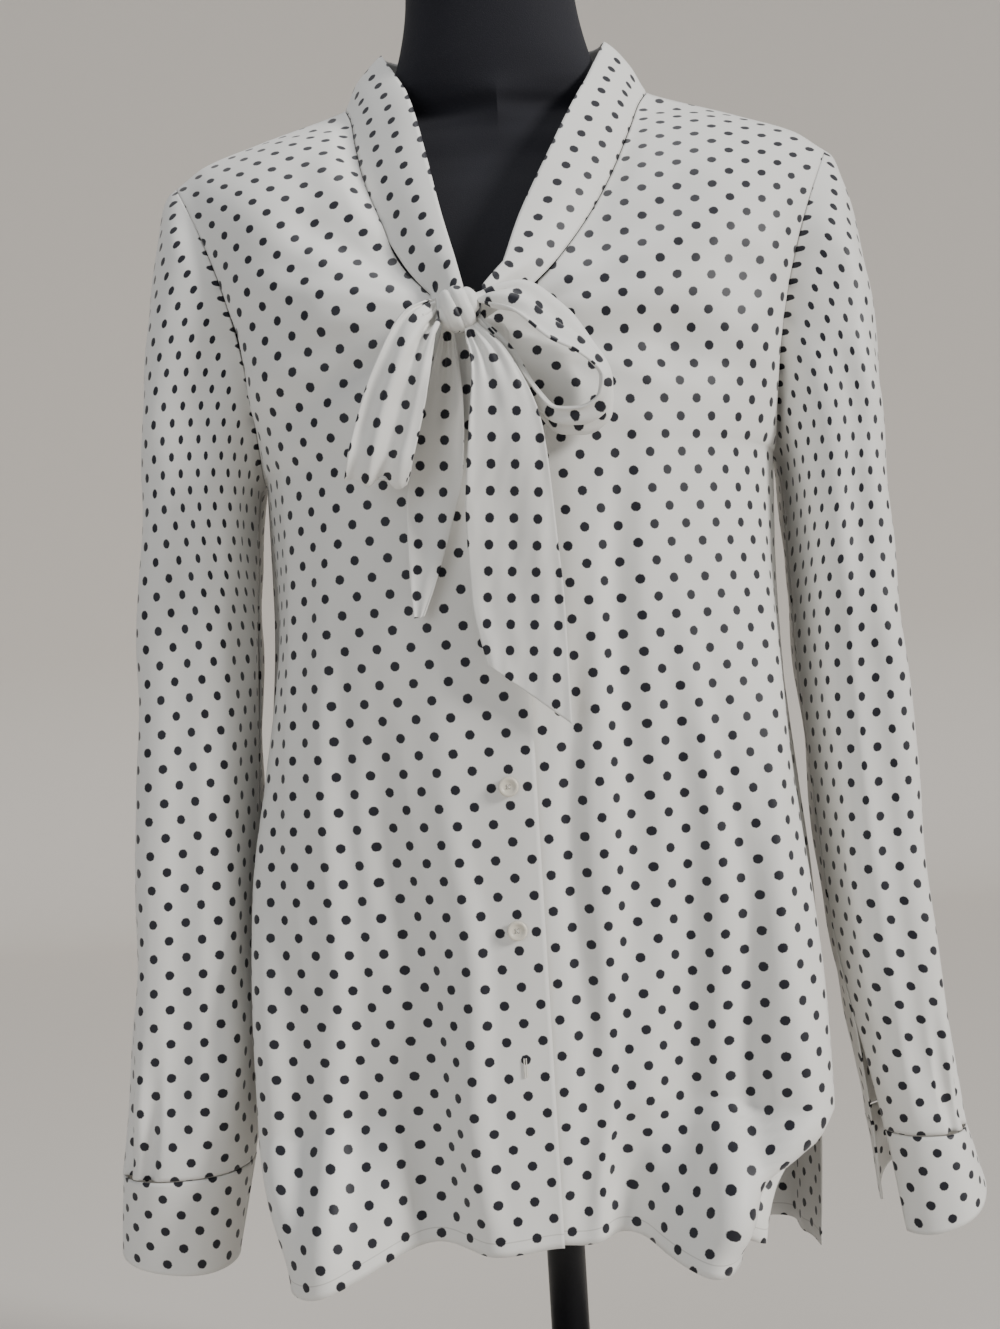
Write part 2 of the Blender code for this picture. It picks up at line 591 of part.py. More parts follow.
def ribbon_surface(rows, alongs, acrosses, pleats):
    """A strip of the bow between its left and right edges, with pleats that run along it."""
    waves, at_knot, at_end = pleats
    acrosses = np.asarray(acrosses)
    grid = []
    for s in alongs:
        here = curve(rows, s)
        ahead = curve(rows, min(s + 0.01, 1.0)) - curve(rows, max(s - 0.01, 0.0))
        left, right = here[:3], here[3:]
        normal = np.cross(right - left, ahead[:3] + ahead[3:])
        normal /= max(np.linalg.norm(normal), 1e-9)
        knot_share = abs(2 * s - 1) if rows in (LOOP_LEFT, LOOP_RIGHT) else 1 - s
        height = at_end + (at_knot - at_end) * knot_share
        wave = height * np.sin(2 * np.pi * waves * acrosses) * np.sin(np.pi * acrosses) ** 0.5
        ease = smooth(s / 0.06) * (smooth((1 - s) / 0.06) if waves > 1 else 1)
        grid.append(left + (right - left) * acrosses[:, None] + normal * (wave * ease)[:, None])
    return np.array(grid)


def make_material(name):
    colour, roughness, metallic = MATERIALS[name]
    material = bpy.data.materials.new(name)
    material.use_nodes = True
    shader = material.node_tree.nodes["Principled BSDF"]
    shader.inputs["Base Color"].default_value = (*colour, 1)
    shader.inputs["Roughness"].default_value = roughness
    shader.inputs["Metallic"].default_value = metallic
    material.diffuse_color = (*colour, 1)
    return material


def add_object(name, mesh, material, collection):
    made = bpy.data.objects.new(name, mesh)
    collection.objects.link(made)
    mesh.materials.append(material)
    mesh.shade_smooth()
    return made


def grid_mesh(name, grid, turn_over):
    rows, columns = grid.shape[:2]
    faces = []
    for r in range(rows - 1):
        for c in range(columns - 1):
            a = r * columns + c
            face = (a, a + 1, a + columns + 1, a + columns)
            faces.append(face[::-1] if turn_over else face)
    mesh = bpy.data.meshes.new(name)
    mesh.from_pydata(grid.reshape(-1, 3).tolist(), [], faces)
    return mesh


def cloth(name, grid, wall, material, collection, turn_over=False):
    """A piece of cloth: its outer face is the grid, and its wall lies inside it."""
    made = add_object(name, grid_mesh(name, grid, turn_over), material, collection)
    thick = made.modifiers.new("wall", "SOLIDIFY")
    thick.thickness = wall
    thick.offset = -1
    return made


def turned(name, profile, steps, material, collection):
    """A solid of revolution about Z. The profile runs down its outer side, as (radius, z)."""
    mesh = bpy.data.meshes.new(name)
    edges = [(i, i + 1) for i in range(len(profile) - 1)]
    mesh.from_pydata([(radius, 0, z) for radius, z in profile], edges, [])
    made = add_object(name, mesh, material, collection)
    screw = made.modifiers.new("turn", "SCREW")
    screw.steps = screw.render_steps = steps
    screw.use_merge_vertices = True
    screw.merge_threshold = 0.00002
    return made


def lofted(name, rings, material, collection):
    """A closed body through rings of points, with a flat cap at each end."""
    count = len(rings[0])
    points = [tuple(p) for ring_points in rings for p in ring_points]
    faces = []
    for r in range(len(rings) - 1):
        for k in range(count):
            a, b = r * count + k, r * count + (k + 1) % count
            faces.append((a, b, b + count, a + count))
    faces.append(tuple(range(count))[::-1])
    top = (len(rings) - 1) * count
    faces.append(tuple(range(top, top + count)))
    mesh = bpy.data.meshes.new(name)
    mesh.from_pydata(points, [], faces)
    return add_object(name, mesh, material, collection)


def make_form(material, collection, cutters):
    """Torso, shoulders and neck in one smooth body, with a socket for the pole."""
    around = np.linspace(0, 2 * np.pi, 36, endpoint=False)
    rings = []
    for z, half_width, front_y, back_y, pointed in FORM_RINGS:
        c = np.sign(np.cos(around)) * np.abs(np.cos(around)) ** pointed
        s = np.sign(np.sin(around)) * np.abs(np.sin(around)) ** pointed
        depth = np.where(s < 0, -front_y, back_y)
        rings.append(np.stack([half_width * c, depth * s, np.full_like(c, z)], 1))
    form = lofted("dress_form", rings, material, collection)
    socket_top = POLE_TOP_Z + SOCKET_DEPTH_PAST_POLE
    bottom = FORM_RINGS[0][0] - 0.01
    bpy.ops.mesh.primitive_cylinder_add(
        vertices=20, radius=POLE_RADIUS + POLE_FIT, depth=socket_top - bottom, location=(0, 0, (socket_top + bottom) / 2)
    )
    cutter = bpy.context.object
    cutter.name = "socket_cutter"
    cutter.hide_render = True
    cutter.display_type = "WIRE"
    for owner in list(cutter.users_collection):
        owner.objects.unlink(cutter)
    cutters.objects.link(cutter)
    cut = form.modifiers.new("socket", "BOOLEAN")
    cut.operation = "DIFFERENCE"
    cut.object = cutter


def make_stand(material, collection):
    """A round base with a hub, and the pole that stands in it."""
    hub_radius, hub_top = 0.022, 0.030
    bore = POLE_RADIUS + POLE_FIT
    profile = (
        (0, POLE_FOOT_Z - POLE_FIT),
        (bore, POLE_FOOT_Z - POLE_FIT),
        (bore, hub_top),
        (hub_radius - 0.002, hub_top),
        (hub_radius, hub_top - 0.002),
        (hub_radius + 0.002, 0.016),
        (hub_radius + 0.012, 0.010),
        (BASE_RADIUS - 0.012, 0.0075),
        (BASE_RADIUS - 0.002, 0.0060),
        (BASE_RADIUS, 0.0040),
        (BASE_RADIUS, 0.0000),
        (0, 0.0000),
    )
    turned("stand_base", profile, 40, material, collection)
    bpy.ops.mesh.primitive_cylinder_add(
        vertices=20, radius=POLE_RADIUS, depth=POLE_TOP_Z - POLE_FOOT_Z, location=(0, 0, (POLE_TOP_Z + POLE_FOOT_Z) / 2)
    )
    pole = bpy.context.object
    pole.name = "stand_pole"
    for owner in list(pole.users_collection):
        owner.objects.unlink(pole)
    collection.objects.link(pole)
    pole.data.materials.append(material)


def make_buttons(material, collection):
    """Round dished buttons on the placket, set out from the cloth's own points."""
    over = front_panel(-1, np.linspace(0, 0.2, 15), np.linspace(0, 0.745, 160)).reshape(-1, 3)
    rim, dish = 0.0021, 0.0013
    profile = ((0, dish), (0.58 * BUTTON_RADIUS, dish), (0.72 * BUTTON_RADIUS, rim), (0.92 * BUTTON_RADIUS, rim))
    profile += ((BUTTON_RADIUS, 0.0014), (0.90 * BUTTON_RADIUS, 0.0), (0, 0.0))
    for i in range(BUTTON_COUNT):
        z = LOWEST_BUTTON_Z + i * BUTTON_PITCH
        under_it = np.hypot(over[:, 0] - BUTTON_X, over[:, 2] - z) < BUTTON_RADIUS
        button = turned(f"button_{i + 1}", profile, 16, material, collection)
        button.rotation_euler = (math.pi / 2, 0, 0)
        button.location = (BUTTON_X, over[under_it, 1].min() - SEAM_GAP, z)


def make_knot(material, collection):
    """A soft round knot with the wrap's slanting furrows."""
    bpy.ops.mesh.primitive_uv_sphere_add(segments=18, ring_count=12, radius=1)
    knot = bpy.context.object
    knot.name = "bow_knot"
    for owner in list(knot.users_collection):
        owner.objects.unlink(knot)
    collection.objects.link(knot)
    for vertex in knot.data.vertices:
        x, y, z = vertex.co
        furrow = 1 - 0.07 * math.cos(7 * (z + 0.35 * x)) * (1 - z * z)
        for k, (centre, radius) in enumerate(zip(KNOT_CENTRE, KNOT_RADII)):
            vertex.co[k] = centre + radius * (x, y, z)[k] * furrow
    knot.data.materials.append(material)
    knot.data.shade_smooth()


def main():
    for old in list(bpy.data.objects):
        bpy.data.objects.remove(old)
    collection = bpy.data.collections.new("tie_neck_blouse")
    cutters = bpy.data.collections.new("cutters")
    bpy.context.scene.collection.children.link(collection)
    bpy.context.scene.collection.children.link(cutters)
    crepe, pearl, jersey, metal = (make_material(name) for name in MATERIALS)

    armhole_rows = UNDERARM_V + (1 - UNDERARM_V) * np.arange(1, 13) / 12
    v_front = np.concatenate([np.linspace(0, UNDERARM_V, 12), armhole_rows])
    v_back = np.concatenate([np.linspace(0, UNDERARM_V, 10), armhole_rows])
    for side, name in ((1, "front_left"), (-1, "front_right")):
        grid = front_panel(side, np.linspace(0, 1, 16), v_front)
        cloth(name, grid, WALL, crepe, collection, turn_over=side < 0)
    cloth("back", back_panel(np.linspace(-1, 1, 29), v_back), WALL, crepe, collection, turn_over=True)
    for side, name in ((1, "left"), (-1, "right")):
        vs = (0, 0.02, 0.06, 0.11, 0.17, 0.23, 0.30, 0.38, 0.47, 0.56, 0.66, 0.76, 0.86, 0.93, 1)
        sleeve = sleeve_surface(side, np.linspace(0, 1, 25), vs)
        cloth(f"sleeve_{name}", sleeve, WALL, crepe, collection, turn_over=side > 0)
        cuff = cuff_surface(side, np.linspace(0, 1, 25), (0, 0.5, 1))
        cloth(f"cuff_{name}", cuff, DOUBLE_WALL, crepe, collection, turn_over=side > 0)
    collar = collar_surface(np.linspace(-1, 1, 41), np.linspace(0, 1, 5))
    cloth("tie_collar", collar, DOUBLE_WALL, crepe, collection, turn_over=False)
    for name, rows, count, pleats in (
        ("bow_tail_left", TAIL_RIGHT, 12, TAIL_PLEATS),
        ("bow_tail_right", TAIL_LEFT, 12, TAIL_PLEATS),
        ("bow_loop_left", LOOP_RIGHT, 24, LOOP_PLEATS),
        ("bow_loop_right", LOOP_LEFT, 24, LOOP_PLEATS),
    ):
        grid = ribbon_surface(rows, np.linspace(0, 1, count), np.linspace(0, 1, 9), pleats)
        cloth(name, grid, DOUBLE_WALL, crepe, collection, turn_over=True)
    make_knot(crepe, collection)
    make_buttons(pearl, collection)
    make_form(jersey, collection, cutters)
    make_stand(metal, collection)


main()
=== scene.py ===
"""The looks of the tie neck blouse on its dress form. Metres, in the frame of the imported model.

The first half repeats the solid's own tables and surfaces, because this script reads no other file.
"""

import math

import bpy
import numpy as np
from mathutils import Matrix, Vector, noise


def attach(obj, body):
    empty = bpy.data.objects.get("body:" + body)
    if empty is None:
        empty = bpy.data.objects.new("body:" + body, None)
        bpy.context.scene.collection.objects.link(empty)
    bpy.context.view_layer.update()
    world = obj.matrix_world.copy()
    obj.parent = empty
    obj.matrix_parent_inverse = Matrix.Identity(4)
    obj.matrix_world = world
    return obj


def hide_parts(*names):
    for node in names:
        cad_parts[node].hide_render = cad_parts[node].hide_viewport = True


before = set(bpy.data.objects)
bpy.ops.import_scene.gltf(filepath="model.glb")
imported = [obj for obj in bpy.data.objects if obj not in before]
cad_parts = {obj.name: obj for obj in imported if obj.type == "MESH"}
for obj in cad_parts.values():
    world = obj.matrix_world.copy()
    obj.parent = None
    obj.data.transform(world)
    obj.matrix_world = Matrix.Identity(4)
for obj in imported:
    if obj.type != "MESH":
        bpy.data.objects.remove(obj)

# Cloth and seams.
SEAM_GAP = 0.0002
SHOULDER_GAP = 0.0003
LAP = 0.0155
LAP_INSET = 0.0028

# Main sizes of the blouse.
CENTRE_X = -0.018
NECK_HALF_WIDTH = 0.095
NECK_POINT_Z = 0.878
V_POINT_Z = 0.737
SHOULDER_HALF_WIDTH = 0.203
SHOULDER_TIP_Z = 0.834
UNDERARM_X = 0.158
UNDERARM_Z = 0.645
UNDERARM_V = 0.66
V_CORNER = 0.7733
ARMHOLE_HALF_DEPTH = 0.058
ARMHOLE_INSET = {"front": 0.014, "back": 0.008}
SLIT_TOP_Z = 0.257
BUTTON_X = -0.0185
BUTTON_RADIUS = 0.0057
BUTTON_PITCH = 0.0812
LOWEST_BUTTON_Z = 0.375
BUTTON_COUNT = 5

# Stand.
POLE_RADIUS = 0.012
POLE_TOP_Z = 0.330

# Columns: v from hem to shoulder, x from the centre line, y, z, forward bulge of the row.
FRONT_EDGE = (
    (0.000, -LAP, -0.1220, 0.194, 0.000),
    (0.180, -LAP, -0.1240, 0.300, 0.000),
    (0.400, -LAP, -0.1270, 0.450, 0.000),
    (0.560, -LAP, -0.1310, 0.580, 0.000),
    (0.660, -LAP, -0.1300, 0.650, 0.000),
    (0.745, -LAP, -0.1190, 0.714, 0.002),
    (V_CORNER, 0.028, -0.1130, 0.737, 0.005),
    (0.830, 0.052, -0.0930, 0.768, 0.009),
    (0.887, 0.071, -0.0670, 0.806, 0.013),
    (0.943, 0.084, -0.0360, 0.846, 0.008),
    (0.972, 0.0895, -0.0170, 0.866, 0.003),
    (1.000, NECK_HALF_WIDTH, -SHOULDER_GAP / 2, NECK_POINT_Z, 0.000),
)
# Columns: v, y, z of the back's centre line.
BACK_CENTRE = (
    (0.00, 0.106, 0.140),
    (0.15, 0.107, 0.250),
    (0.40, 0.101, 0.420),
    (0.60, 0.103, 0.580),
    (0.70, 0.107, 0.660),
    (0.80, 0.108, 0.730),
    (0.90, 0.101, 0.815),
    (1.00, 0.080, 0.884),
)
# Columns: share of the way from the back's centre to the shoulder tip, x, y, z.
BACK_TOP = (
    (0.00, 0.000, 0.080, 0.884),
    (0.26, 0.058, 0.062, 0.886),
    (0.42, 0.088, 0.026, 0.882),
    (0.50, NECK_HALF_WIDTH, SHOULDER_GAP / 2, NECK_POINT_Z),
    (0.755, 0.150, SHOULDER_GAP / 2, 0.8605),
    (0.917, 0.185, SHOULDER_GAP / 2, 0.8475),
    (1.00, SHOULDER_HALF_WIDTH, SHOULDER_GAP / 2, SHOULDER_TIP_Z),
)
# Columns: v, x, front z, back z of each side seam, up to the underarm.
SIDE_SEAM = {
    1: (
        (0.00, 0.1600, 0.186, 0.142),
        (0.14, 0.1660, 0.262, 0.245),
        (0.22, 0.1672, 0.318, 0.300),
        (0.40, 0.1610, 0.450, 0.430),
        (0.56, 0.1555, 0.570, 0.560),
        (0.66, UNDERARM_X, UNDERARM_Z, UNDERARM_Z),
    ),
    -1: (
        (0.00, 0.1660, 0.186, 0.142),
        (0.14, 0.1715, 0.262, 0.245),
        (0.24, 0.1735, 0.335, 0.320),
        (0.33, 0.1720, 0.400, 0.380),
        (0.42, 0.1665, 0.465, 0.445),
        (0.56, 0.1585, 0.570, 0.560),
        (0.66, UNDERARM_X, UNDERARM_Z, UNDERARM_Z),
    ),
}
# How far each panel's corner swings away from the side seam at the open slit: x, y, z.
SLIT_SWING = {1: (-0.044, -0.086, -0.006), -1: (-0.002, -0.056, -0.010)}
BACK_SWING = {1: (0.004, 0.020, 0.000), -1: (-0.004, 0.018, 0.000)}
HEM_DROP_PER_FOLD = 0.36

# Hanging folds. Columns: place across the panel from its centre to its side, half width of the
# fold as a share of the panel, height where it fades out, depth at the hem (minus is a hollow).
FRONT_FOLDS = {
    1: (
        (0.15, 0.13, 0.48, -0.004),
        (0.41, 0.17, 0.62, -0.013),
        (0.66, 0.19, 0.66, 0.028),
        (0.87, 0.12, 0.56, -0.011),
    ),
    -1: (
        (0.16, 0.15, 0.48, 0.004),
        (0.40, 0.20, 0.62, -0.014),
        (0.71, 0.22, 0.66, 0.026),
        (0.92, 0.10, 0.52, -0.006),
    ),
}
BACK_FOLDS = (
    (-0.74, 0.15, 0.60, 0.018),
    (-0.52, 0.10, 0.58, -0.010),
    (-0.31, 0.14, 0.64, 0.021),
    (-0.05, 0.13, 0.60, -0.010),
    (0.22, 0.14, 0.66, 0.020),
    (0.46, 0.11, 0.58, -0.011),
    (0.70, 0.15, 0.62, 0.019),
)
# Slanting creases on the chest. Columns: x and z at each end, half width, depth.
CHEST_CREASES = (
    (-0.135, 0.800, -0.048, 0.742, 0.011, -0.0045),
    (-0.118, 0.838, -0.058, 0.768, 0.010, 0.0035),
    (-0.170, 0.745, -0.075, 0.690, 0.013, -0.0035),
    (0.125, 0.815, 0.035, 0.735, 0.013, -0.0030),
    (0.155, 0.760, 0.070, 0.690, 0.014, -0.0030),
)

# Columns: v from armhole to cuff, inner x and z, outer x and z, y of the middle, half depth.
SLEEVE = {
    1: (
        (0.00, UNDERARM_X, UNDERARM_Z, SHOULDER_HALF_WIDTH, SHOULDER_TIP_Z, 0.000, ARMHOLE_HALF_DEPTH),
        (0.02, 0.1596, 0.6438, 0.2075, 0.8300, 0.000, 0.0595),
        (0.08, 0.1620, 0.641, 0.2145, 0.811, 0.000, 0.0630),
        (0.17, 0.1645, 0.622, 0.2205, 0.770, 0.000, 0.0680),
        (0.27, 0.1650, 0.588, 0.2245, 0.700, -0.002, 0.0700),
        (0.38, 0.1655, 0.540, 0.2270, 0.605, -0.004, 0.0690),
        (0.55, 0.1695, 0.455, 0.2305, 0.490, -0.008, 0.0650),
        (0.75, 0.1775, 0.350, 0.2350, 0.362, -0.012, 0.0600),
        (0.90, 0.1860, 0.275, 0.2420, 0.275, -0.016, 0.0550),
        (1.00, 0.1915, 0.231, 0.2490, 0.230, -0.018, 0.0490),
    ),
    -1: (
        (0.00, UNDERARM_X, UNDERARM_Z, SHOULDER_HALF_WIDTH, SHOULDER_TIP_Z, 0.000, ARMHOLE_HALF_DEPTH),
        (0.02, 0.1597, 0.6438, 0.2075, 0.8300, 0.000, 0.0595),
        (0.08, 0.1625, 0.641, 0.2140, 0.811, 0.000, 0.0630),
        (0.17, 0.1655, 0.622, 0.2210, 0.768, 0.000, 0.0670),
        (0.27, 0.1670, 0.588, 0.2285, 0.700, -0.002, 0.0690),
        (0.38, 0.1690, 0.540, 0.2350, 0.605, -0.004, 0.0680),
        (0.55, 0.1735, 0.455, 0.2435, 0.490, -0.008, 0.0640),
        (0.75, 0.1785, 0.350, 0.2535, 0.362, -0.012, 0.0590),
        (0.90, 0.1840, 0.275, 0.2625, 0.275, -0.016, 0.0540),
        (1.00, 0.1890, 0.231, 0.2690, 0.230, -0.018, 0.0480),
    ),
}
# The same columns for a cuff, from its seam to its rim, and how much lower its front lies.
CUFF = {
    1: (
        (0.00, 0.1915, 0.2300, 0.2492, 0.2290, -0.018, 0.0488, 0.000),
        (1.00, 0.1955, 0.1800, 0.2575, 0.1960, -0.026, 0.0460, 0.013),
    ),
    -1: (
        (0.00, 0.1890, 0.2300, 0.2692, 0.2290, -0.018, 0.0478, 0.000),
        (1.00, 0.2010, 0.1730, 0.2725, 0.1830, -0.018, 0.0420, 0.005),
    ),
}
# The open cuff of the +X sleeve: half the opening, in radians, at the slit's top, cuff seam and rim.
OPEN_SLIT = ((0.86, 0.0), (1.00, 0.22))
OPEN_CUFF = (0.24, 0.42)
OPENING_SHIFT = 0.055
# Lengthwise folds of a sleeve. Columns: place round it in turns from the outer line, half width, depth.
SLEEVE_FOLDS = (
    (0.13, 0.07, 0.0045),
    (0.24, 0.06, -0.0040),
    (0.36, 0.06, 0.0035),
    (0.62, 0.07, -0.0040),
    (0.76, 0.07, 0.0050),
    (0.90, 0.06, -0.0035),
)
CUFF_PLEATS = ((0.10, 0.035, -0.0040), (0.18, 0.035, -0.0040), (0.80, 0.035, -0.0035))

# Free edge of the tie collar. Columns: v as in FRONT_EDGE, x from the centre line, y, z.
COLLAR_EDGE = {
    1: (
        (V_CORNER, 0.0125, -0.1200, 0.7525),
        (0.830, 0.0190, -0.1030, 0.780),
        (0.887, 0.0340, -0.0800, 0.823),
        (0.943, 0.0490, -0.0520, 0.864),
        (1.000, 0.0700, 0.0020, 0.912),
    ),
    -1: (
        (V_CORNER, 0.0148, -0.1200, 0.7565),
        (0.830, 0.0250, -0.1020, 0.786),
        (0.887, 0.0370, -0.0800, 0.825),
        (0.943, 0.0495, -0.0520, 0.864),
        (1.000, 0.0700, 0.0020, 0.912),
    ),
}
# Where the collar runs into the knot: x, y, z of its seam and of its free edge.
COLLAR_END = {
    1: ((-0.0175, -0.1300, 0.7170), (-0.0165, -0.1300, 0.7375)),
    -1: ((-0.0430, -0.1300, 0.7170), (-0.0265, -0.1275, 0.7375)),
}
COLLAR_END_SHARE = 0.09
COLLAR_FRONT_SHARE = 0.64
# Its edge behind the neck. Columns: share of BACK_TOP from the neck point to the centre, x, y, z.
COLLAR_BACK_EDGE = (
    (0.50, 0.0700, 0.0020, 0.912),
    (0.36, 0.0720, 0.0400, 0.923),
    (0.18, 0.0440, 0.0680, 0.924),
    (0.00, 0.0000, 0.0760, 0.922),
)

# The bow. Columns: share of the length, then x, y, z of the left edge and of the right edge.
TAIL_RIGHT = (
    (0.00, -0.0275, -0.1446, 0.7121, -0.0205, -0.1451, 0.7148),
    (0.12, -0.0245, -0.1560, 0.690, -0.0045, -0.1550, 0.696),
    (0.30, -0.0285, -0.1600, 0.651, 0.0120, -0.1590, 0.654),
    (0.50, -0.0330, -0.1510, 0.604, 0.0165, -0.1500, 0.600),
    (0.75, -0.0325, -0.1430, 0.563, 0.0190, -0.1430, 0.548),
    (1.00, -0.0262, -0.1400, 0.5255, 0.0190, -0.1395, 0.4894),
)
TAIL_LEFT = (
    (0.00, -0.0395, -0.1362, 0.7148, -0.0335, -0.1364, 0.7116),
    (0.20, -0.0500, -0.1350, 0.6800, -0.0305, -0.1355, 0.6760),
    (0.45, -0.0625, -0.1370, 0.6350, -0.0330, -0.1380, 0.6340),
    (0.65, -0.0660, -0.1370, 0.6060, -0.0410, -0.1380, 0.6040),
    (0.85, -0.0662, -0.1360, 0.5750, -0.0520, -0.1370, 0.5720),
    (1.00, -0.0650, -0.1350, 0.5535, -0.0600, -0.1355, 0.5540),
)
LOOP_LEFT = (
    (0.00, -0.0420, -0.1405, 0.7300, -0.0415, -0.1418, 0.7180),
    (0.15, -0.0580, -0.1540, 0.7220, -0.0440, -0.1570, 0.7030),
    (0.35, -0.0790, -0.1610, 0.6880, -0.0500, -0.1640, 0.6720),
    (0.46, -0.0935, -0.1610, 0.6480, -0.0590, -0.1630, 0.6400),
    (0.50, -0.0980, -0.1530, 0.6300, -0.0640, -0.1540, 0.6260),
    (0.54, -0.0950, -0.1440, 0.6420, -0.0610, -0.1440, 0.6360),
    (0.70, -0.0800, -0.1420, 0.6850, -0.0530, -0.1430, 0.6750),
    (0.85, -0.0620, -0.1400, 0.7140, -0.0480, -0.1410, 0.7030),
    (1.00, -0.0440, -0.1362, 0.7290, -0.0435, -0.1365, 0.7180),
)
LOOP_RIGHT = (
    (0.00, -0.0205, -0.1390, 0.7305, -0.0188, -0.1460, 0.7250),
    (0.12, 0.0050, -0.1320, 0.7370, -0.0020, -0.1570, 0.7180),
    (0.28, 0.0270, -0.1280, 0.7240, 0.0180, -0.1630, 0.7000),
    (0.40, 0.0400, -0.1290, 0.7050, 0.0335, -0.1640, 0.6910),
    (0.50, 0.0505, -0.1340, 0.6790, 0.0455, -0.1630, 0.6780),
    (0.58, 0.0490, -0.1360, 0.6590, 0.0435, -0.1600, 0.6690),
    (0.66, 0.0365, -0.1362, 0.6510, 0.0320, -0.1570, 0.6630),
    (0.74, 0.0235, -0.1362, 0.6520, 0.0200, -0.1550, 0.6640),
    (0.84, 0.0095, -0.1355, 0.6690, 0.0075, -0.1530, 0.6780),
    (0.93, -0.0030, -0.1340, 0.6970, -0.0045, -0.1490, 0.6990),
    (1.00, -0.0186, -0.1370, 0.7195, -0.0188, -0.1430, 0.7180),
)
# Pleats across each ribbon. Columns: waves, height at the knot, height at the free end.
TAIL_PLEATS = (1.0, 0.0015, 0.0006)
LOOP_PLEATS = (2.0, 0.0022, 0.0028)
KNOT_CENTRE = (-0.0300, -0.1400, 0.7230)
KNOT_RADII = (0.0108, 0.0115, 0.0118)

# Dress form. Columns: z, half width, y of the front, y of the back, how pointed the section is.
FORM_RINGS = (
    (0.250, 0.100, -0.068, 0.064, 0.90),
    (0.256, 0.126, -0.085, 0.081, 0.90),
    (0.275, 0.139, -0.098, 0.091, 0.90),
    (0.320, 0.145, -0.104, 0.093, 0.90),
    (0.380, 0.142, -0.102, 0.091, 0.90),
    (0.470, 0.118, -0.092, 0.078, 0.90),
    (0.550, 0.131, -0.106, 0.084, 0.90),
    (0.625, 0.144, -0.120, 0.092, 0.90),
    (0.680, 0.146, -0.112, 0.095, 0.90),
    (0.735, 0.148, -0.094, 0.092, 0.90),
    (0.780, 0.156, -0.073, 0.084, 0.93),
    (0.810, 0.169, -0.058, 0.070, 1.00),
    (0.824, 0.178, -0.050, 0.060, 1.05),
    (0.835, 0.1850, -0.045, 0.054, 1.15),
    (0.845, 0.1760, -0.043, 0.052, 1.42),
    (0.855, 0.1530, -0.041, 0.051, 1.75),
    (0.865, 0.1245, -0.041, 0.051, 2.10),
    (0.874, 0.0910, -0.0430, 0.053, 1.60),
    (0.885, 0.0720, -0.0420, 0.054, 1.15),
    (0.900, 0.0615, -0.0425, 0.054, 0.98),
    (0.943, 0.0530, -0.0440, 0.052, 0.95),
    (0.968, 0.0520, -0.0445, 0.051, 0.95),
    (0.974, 0.0490, -0.0420, 0.048, 0.95),
)

def curve(rows, at):
    """The other columns of a table at places along its first, on curves that never overshoot a row."""
    table = np.asarray(sorted(rows), float)
    knots, values = table[:, 0], table[:, 1:]
    step = np.diff(knots)[:, None]
    rise = np.diff(values, axis=0) / step
    slope = np.vstack([rise[:1], np.zeros_like(rise[1:]), rise[-1:]])
    before, after = rise[:-1], rise[1:]
    same_way = before * after > 0
    total = np.where(same_way, before + after, 1.0)
    slope[1:-1] = np.where(same_way, 2 * before * after / total, 0.0)
    at = np.clip(np.asarray(at, float), knots[0], knots[-1])
    i = np.clip(np.searchsorted(knots, at, side="right") - 1, 0, len(knots) - 2)
    h = step[i]
    t = ((at - knots[i]) / np.diff(knots)[i])[..., None]
    start, end = values[i], values[i + 1]
    return (
        start * (2 * t**3 - 3 * t**2 + 1)
        + end * (3 * t**2 - 2 * t**3)
        + slope[i] * h * (t**3 - 2 * t**2 + t)
        + slope[i + 1] * h * (t**3 - t**2)
    )


def smooth(t):
    t = np.clip(t, 0.0, 1.0)
    return t * t * (3 - 2 * t)


def hump(distance, half_width):
    """1 in the middle, 0 from half_width outwards, round between."""
    return 0.5 + 0.5 * np.cos(np.pi * np.clip(np.abs(distance) / half_width, 0, 1))


def centre_line(z):
    """The front's centre slides sideways from the neck points down to the knot."""
    return CENTRE_X * np.clip((NECK_POINT_Z - z) / (NECK_POINT_Z - V_POINT_Z), 0, 1)


def armhole(v, half):
    """A point of the armhole on the +X side, from the underarm at UNDERARM_V to the tip at 1."""
    angle = math.pi * (1 - (v - UNDERARM_V) / (1 - UNDERARM_V))
    middle_x = (SHOULDER_HALF_WIDTH + UNDERARM_X) / 2
    middle_z = (SHOULDER_TIP_Z + UNDERARM_Z) / 2
    x = middle_x + (SHOULDER_HALF_WIDTH - UNDERARM_X) / 2 * math.cos(angle)
    z = middle_z + (SHOULDER_TIP_Z - UNDERARM_Z) / 2 * math.cos(angle)
    x -= ARMHOLE_INSET[half] * math.sin(angle) ** 2
    toward = -1 if half == "front" else 1
    return np.array([x, toward * ARMHOLE_HALF_DEPTH * math.sin(angle), z])


def side_edge(v, half, side):
    """The outer edge of a panel's row on the +X side: side seam, then armhole."""
    toward = -1 if half == "front" else 1
    if v >= UNDERARM_V:
        point = armhole(v, half)
        up = (v - UNDERARM_V) / (1 - UNDERARM_V)
        point[1] += toward * (SEAM_GAP * (1 - up) + SHOULDER_GAP * up) / 2
        return point
    x, front_z, back_z = curve(SIDE_SEAM[side], v)
    z = front_z if half == "front" else back_z
    hem_z = SIDE_SEAM[side][0][2] if half == "front" else SIDE_SEAM[side][0][3]
    swing = SLIT_SWING[side] if half == "front" else BACK_SWING[side]
    below_slit_top = np.clip((SLIT_TOP_Z - z) / (SLIT_TOP_Z - hem_z), 0, 1)
    open_share = 1 - (1 - below_slit_top) ** 2
    moved = np.array([x, toward * SEAM_GAP / 2, z])
    return moved + np.array(swing) * open_share


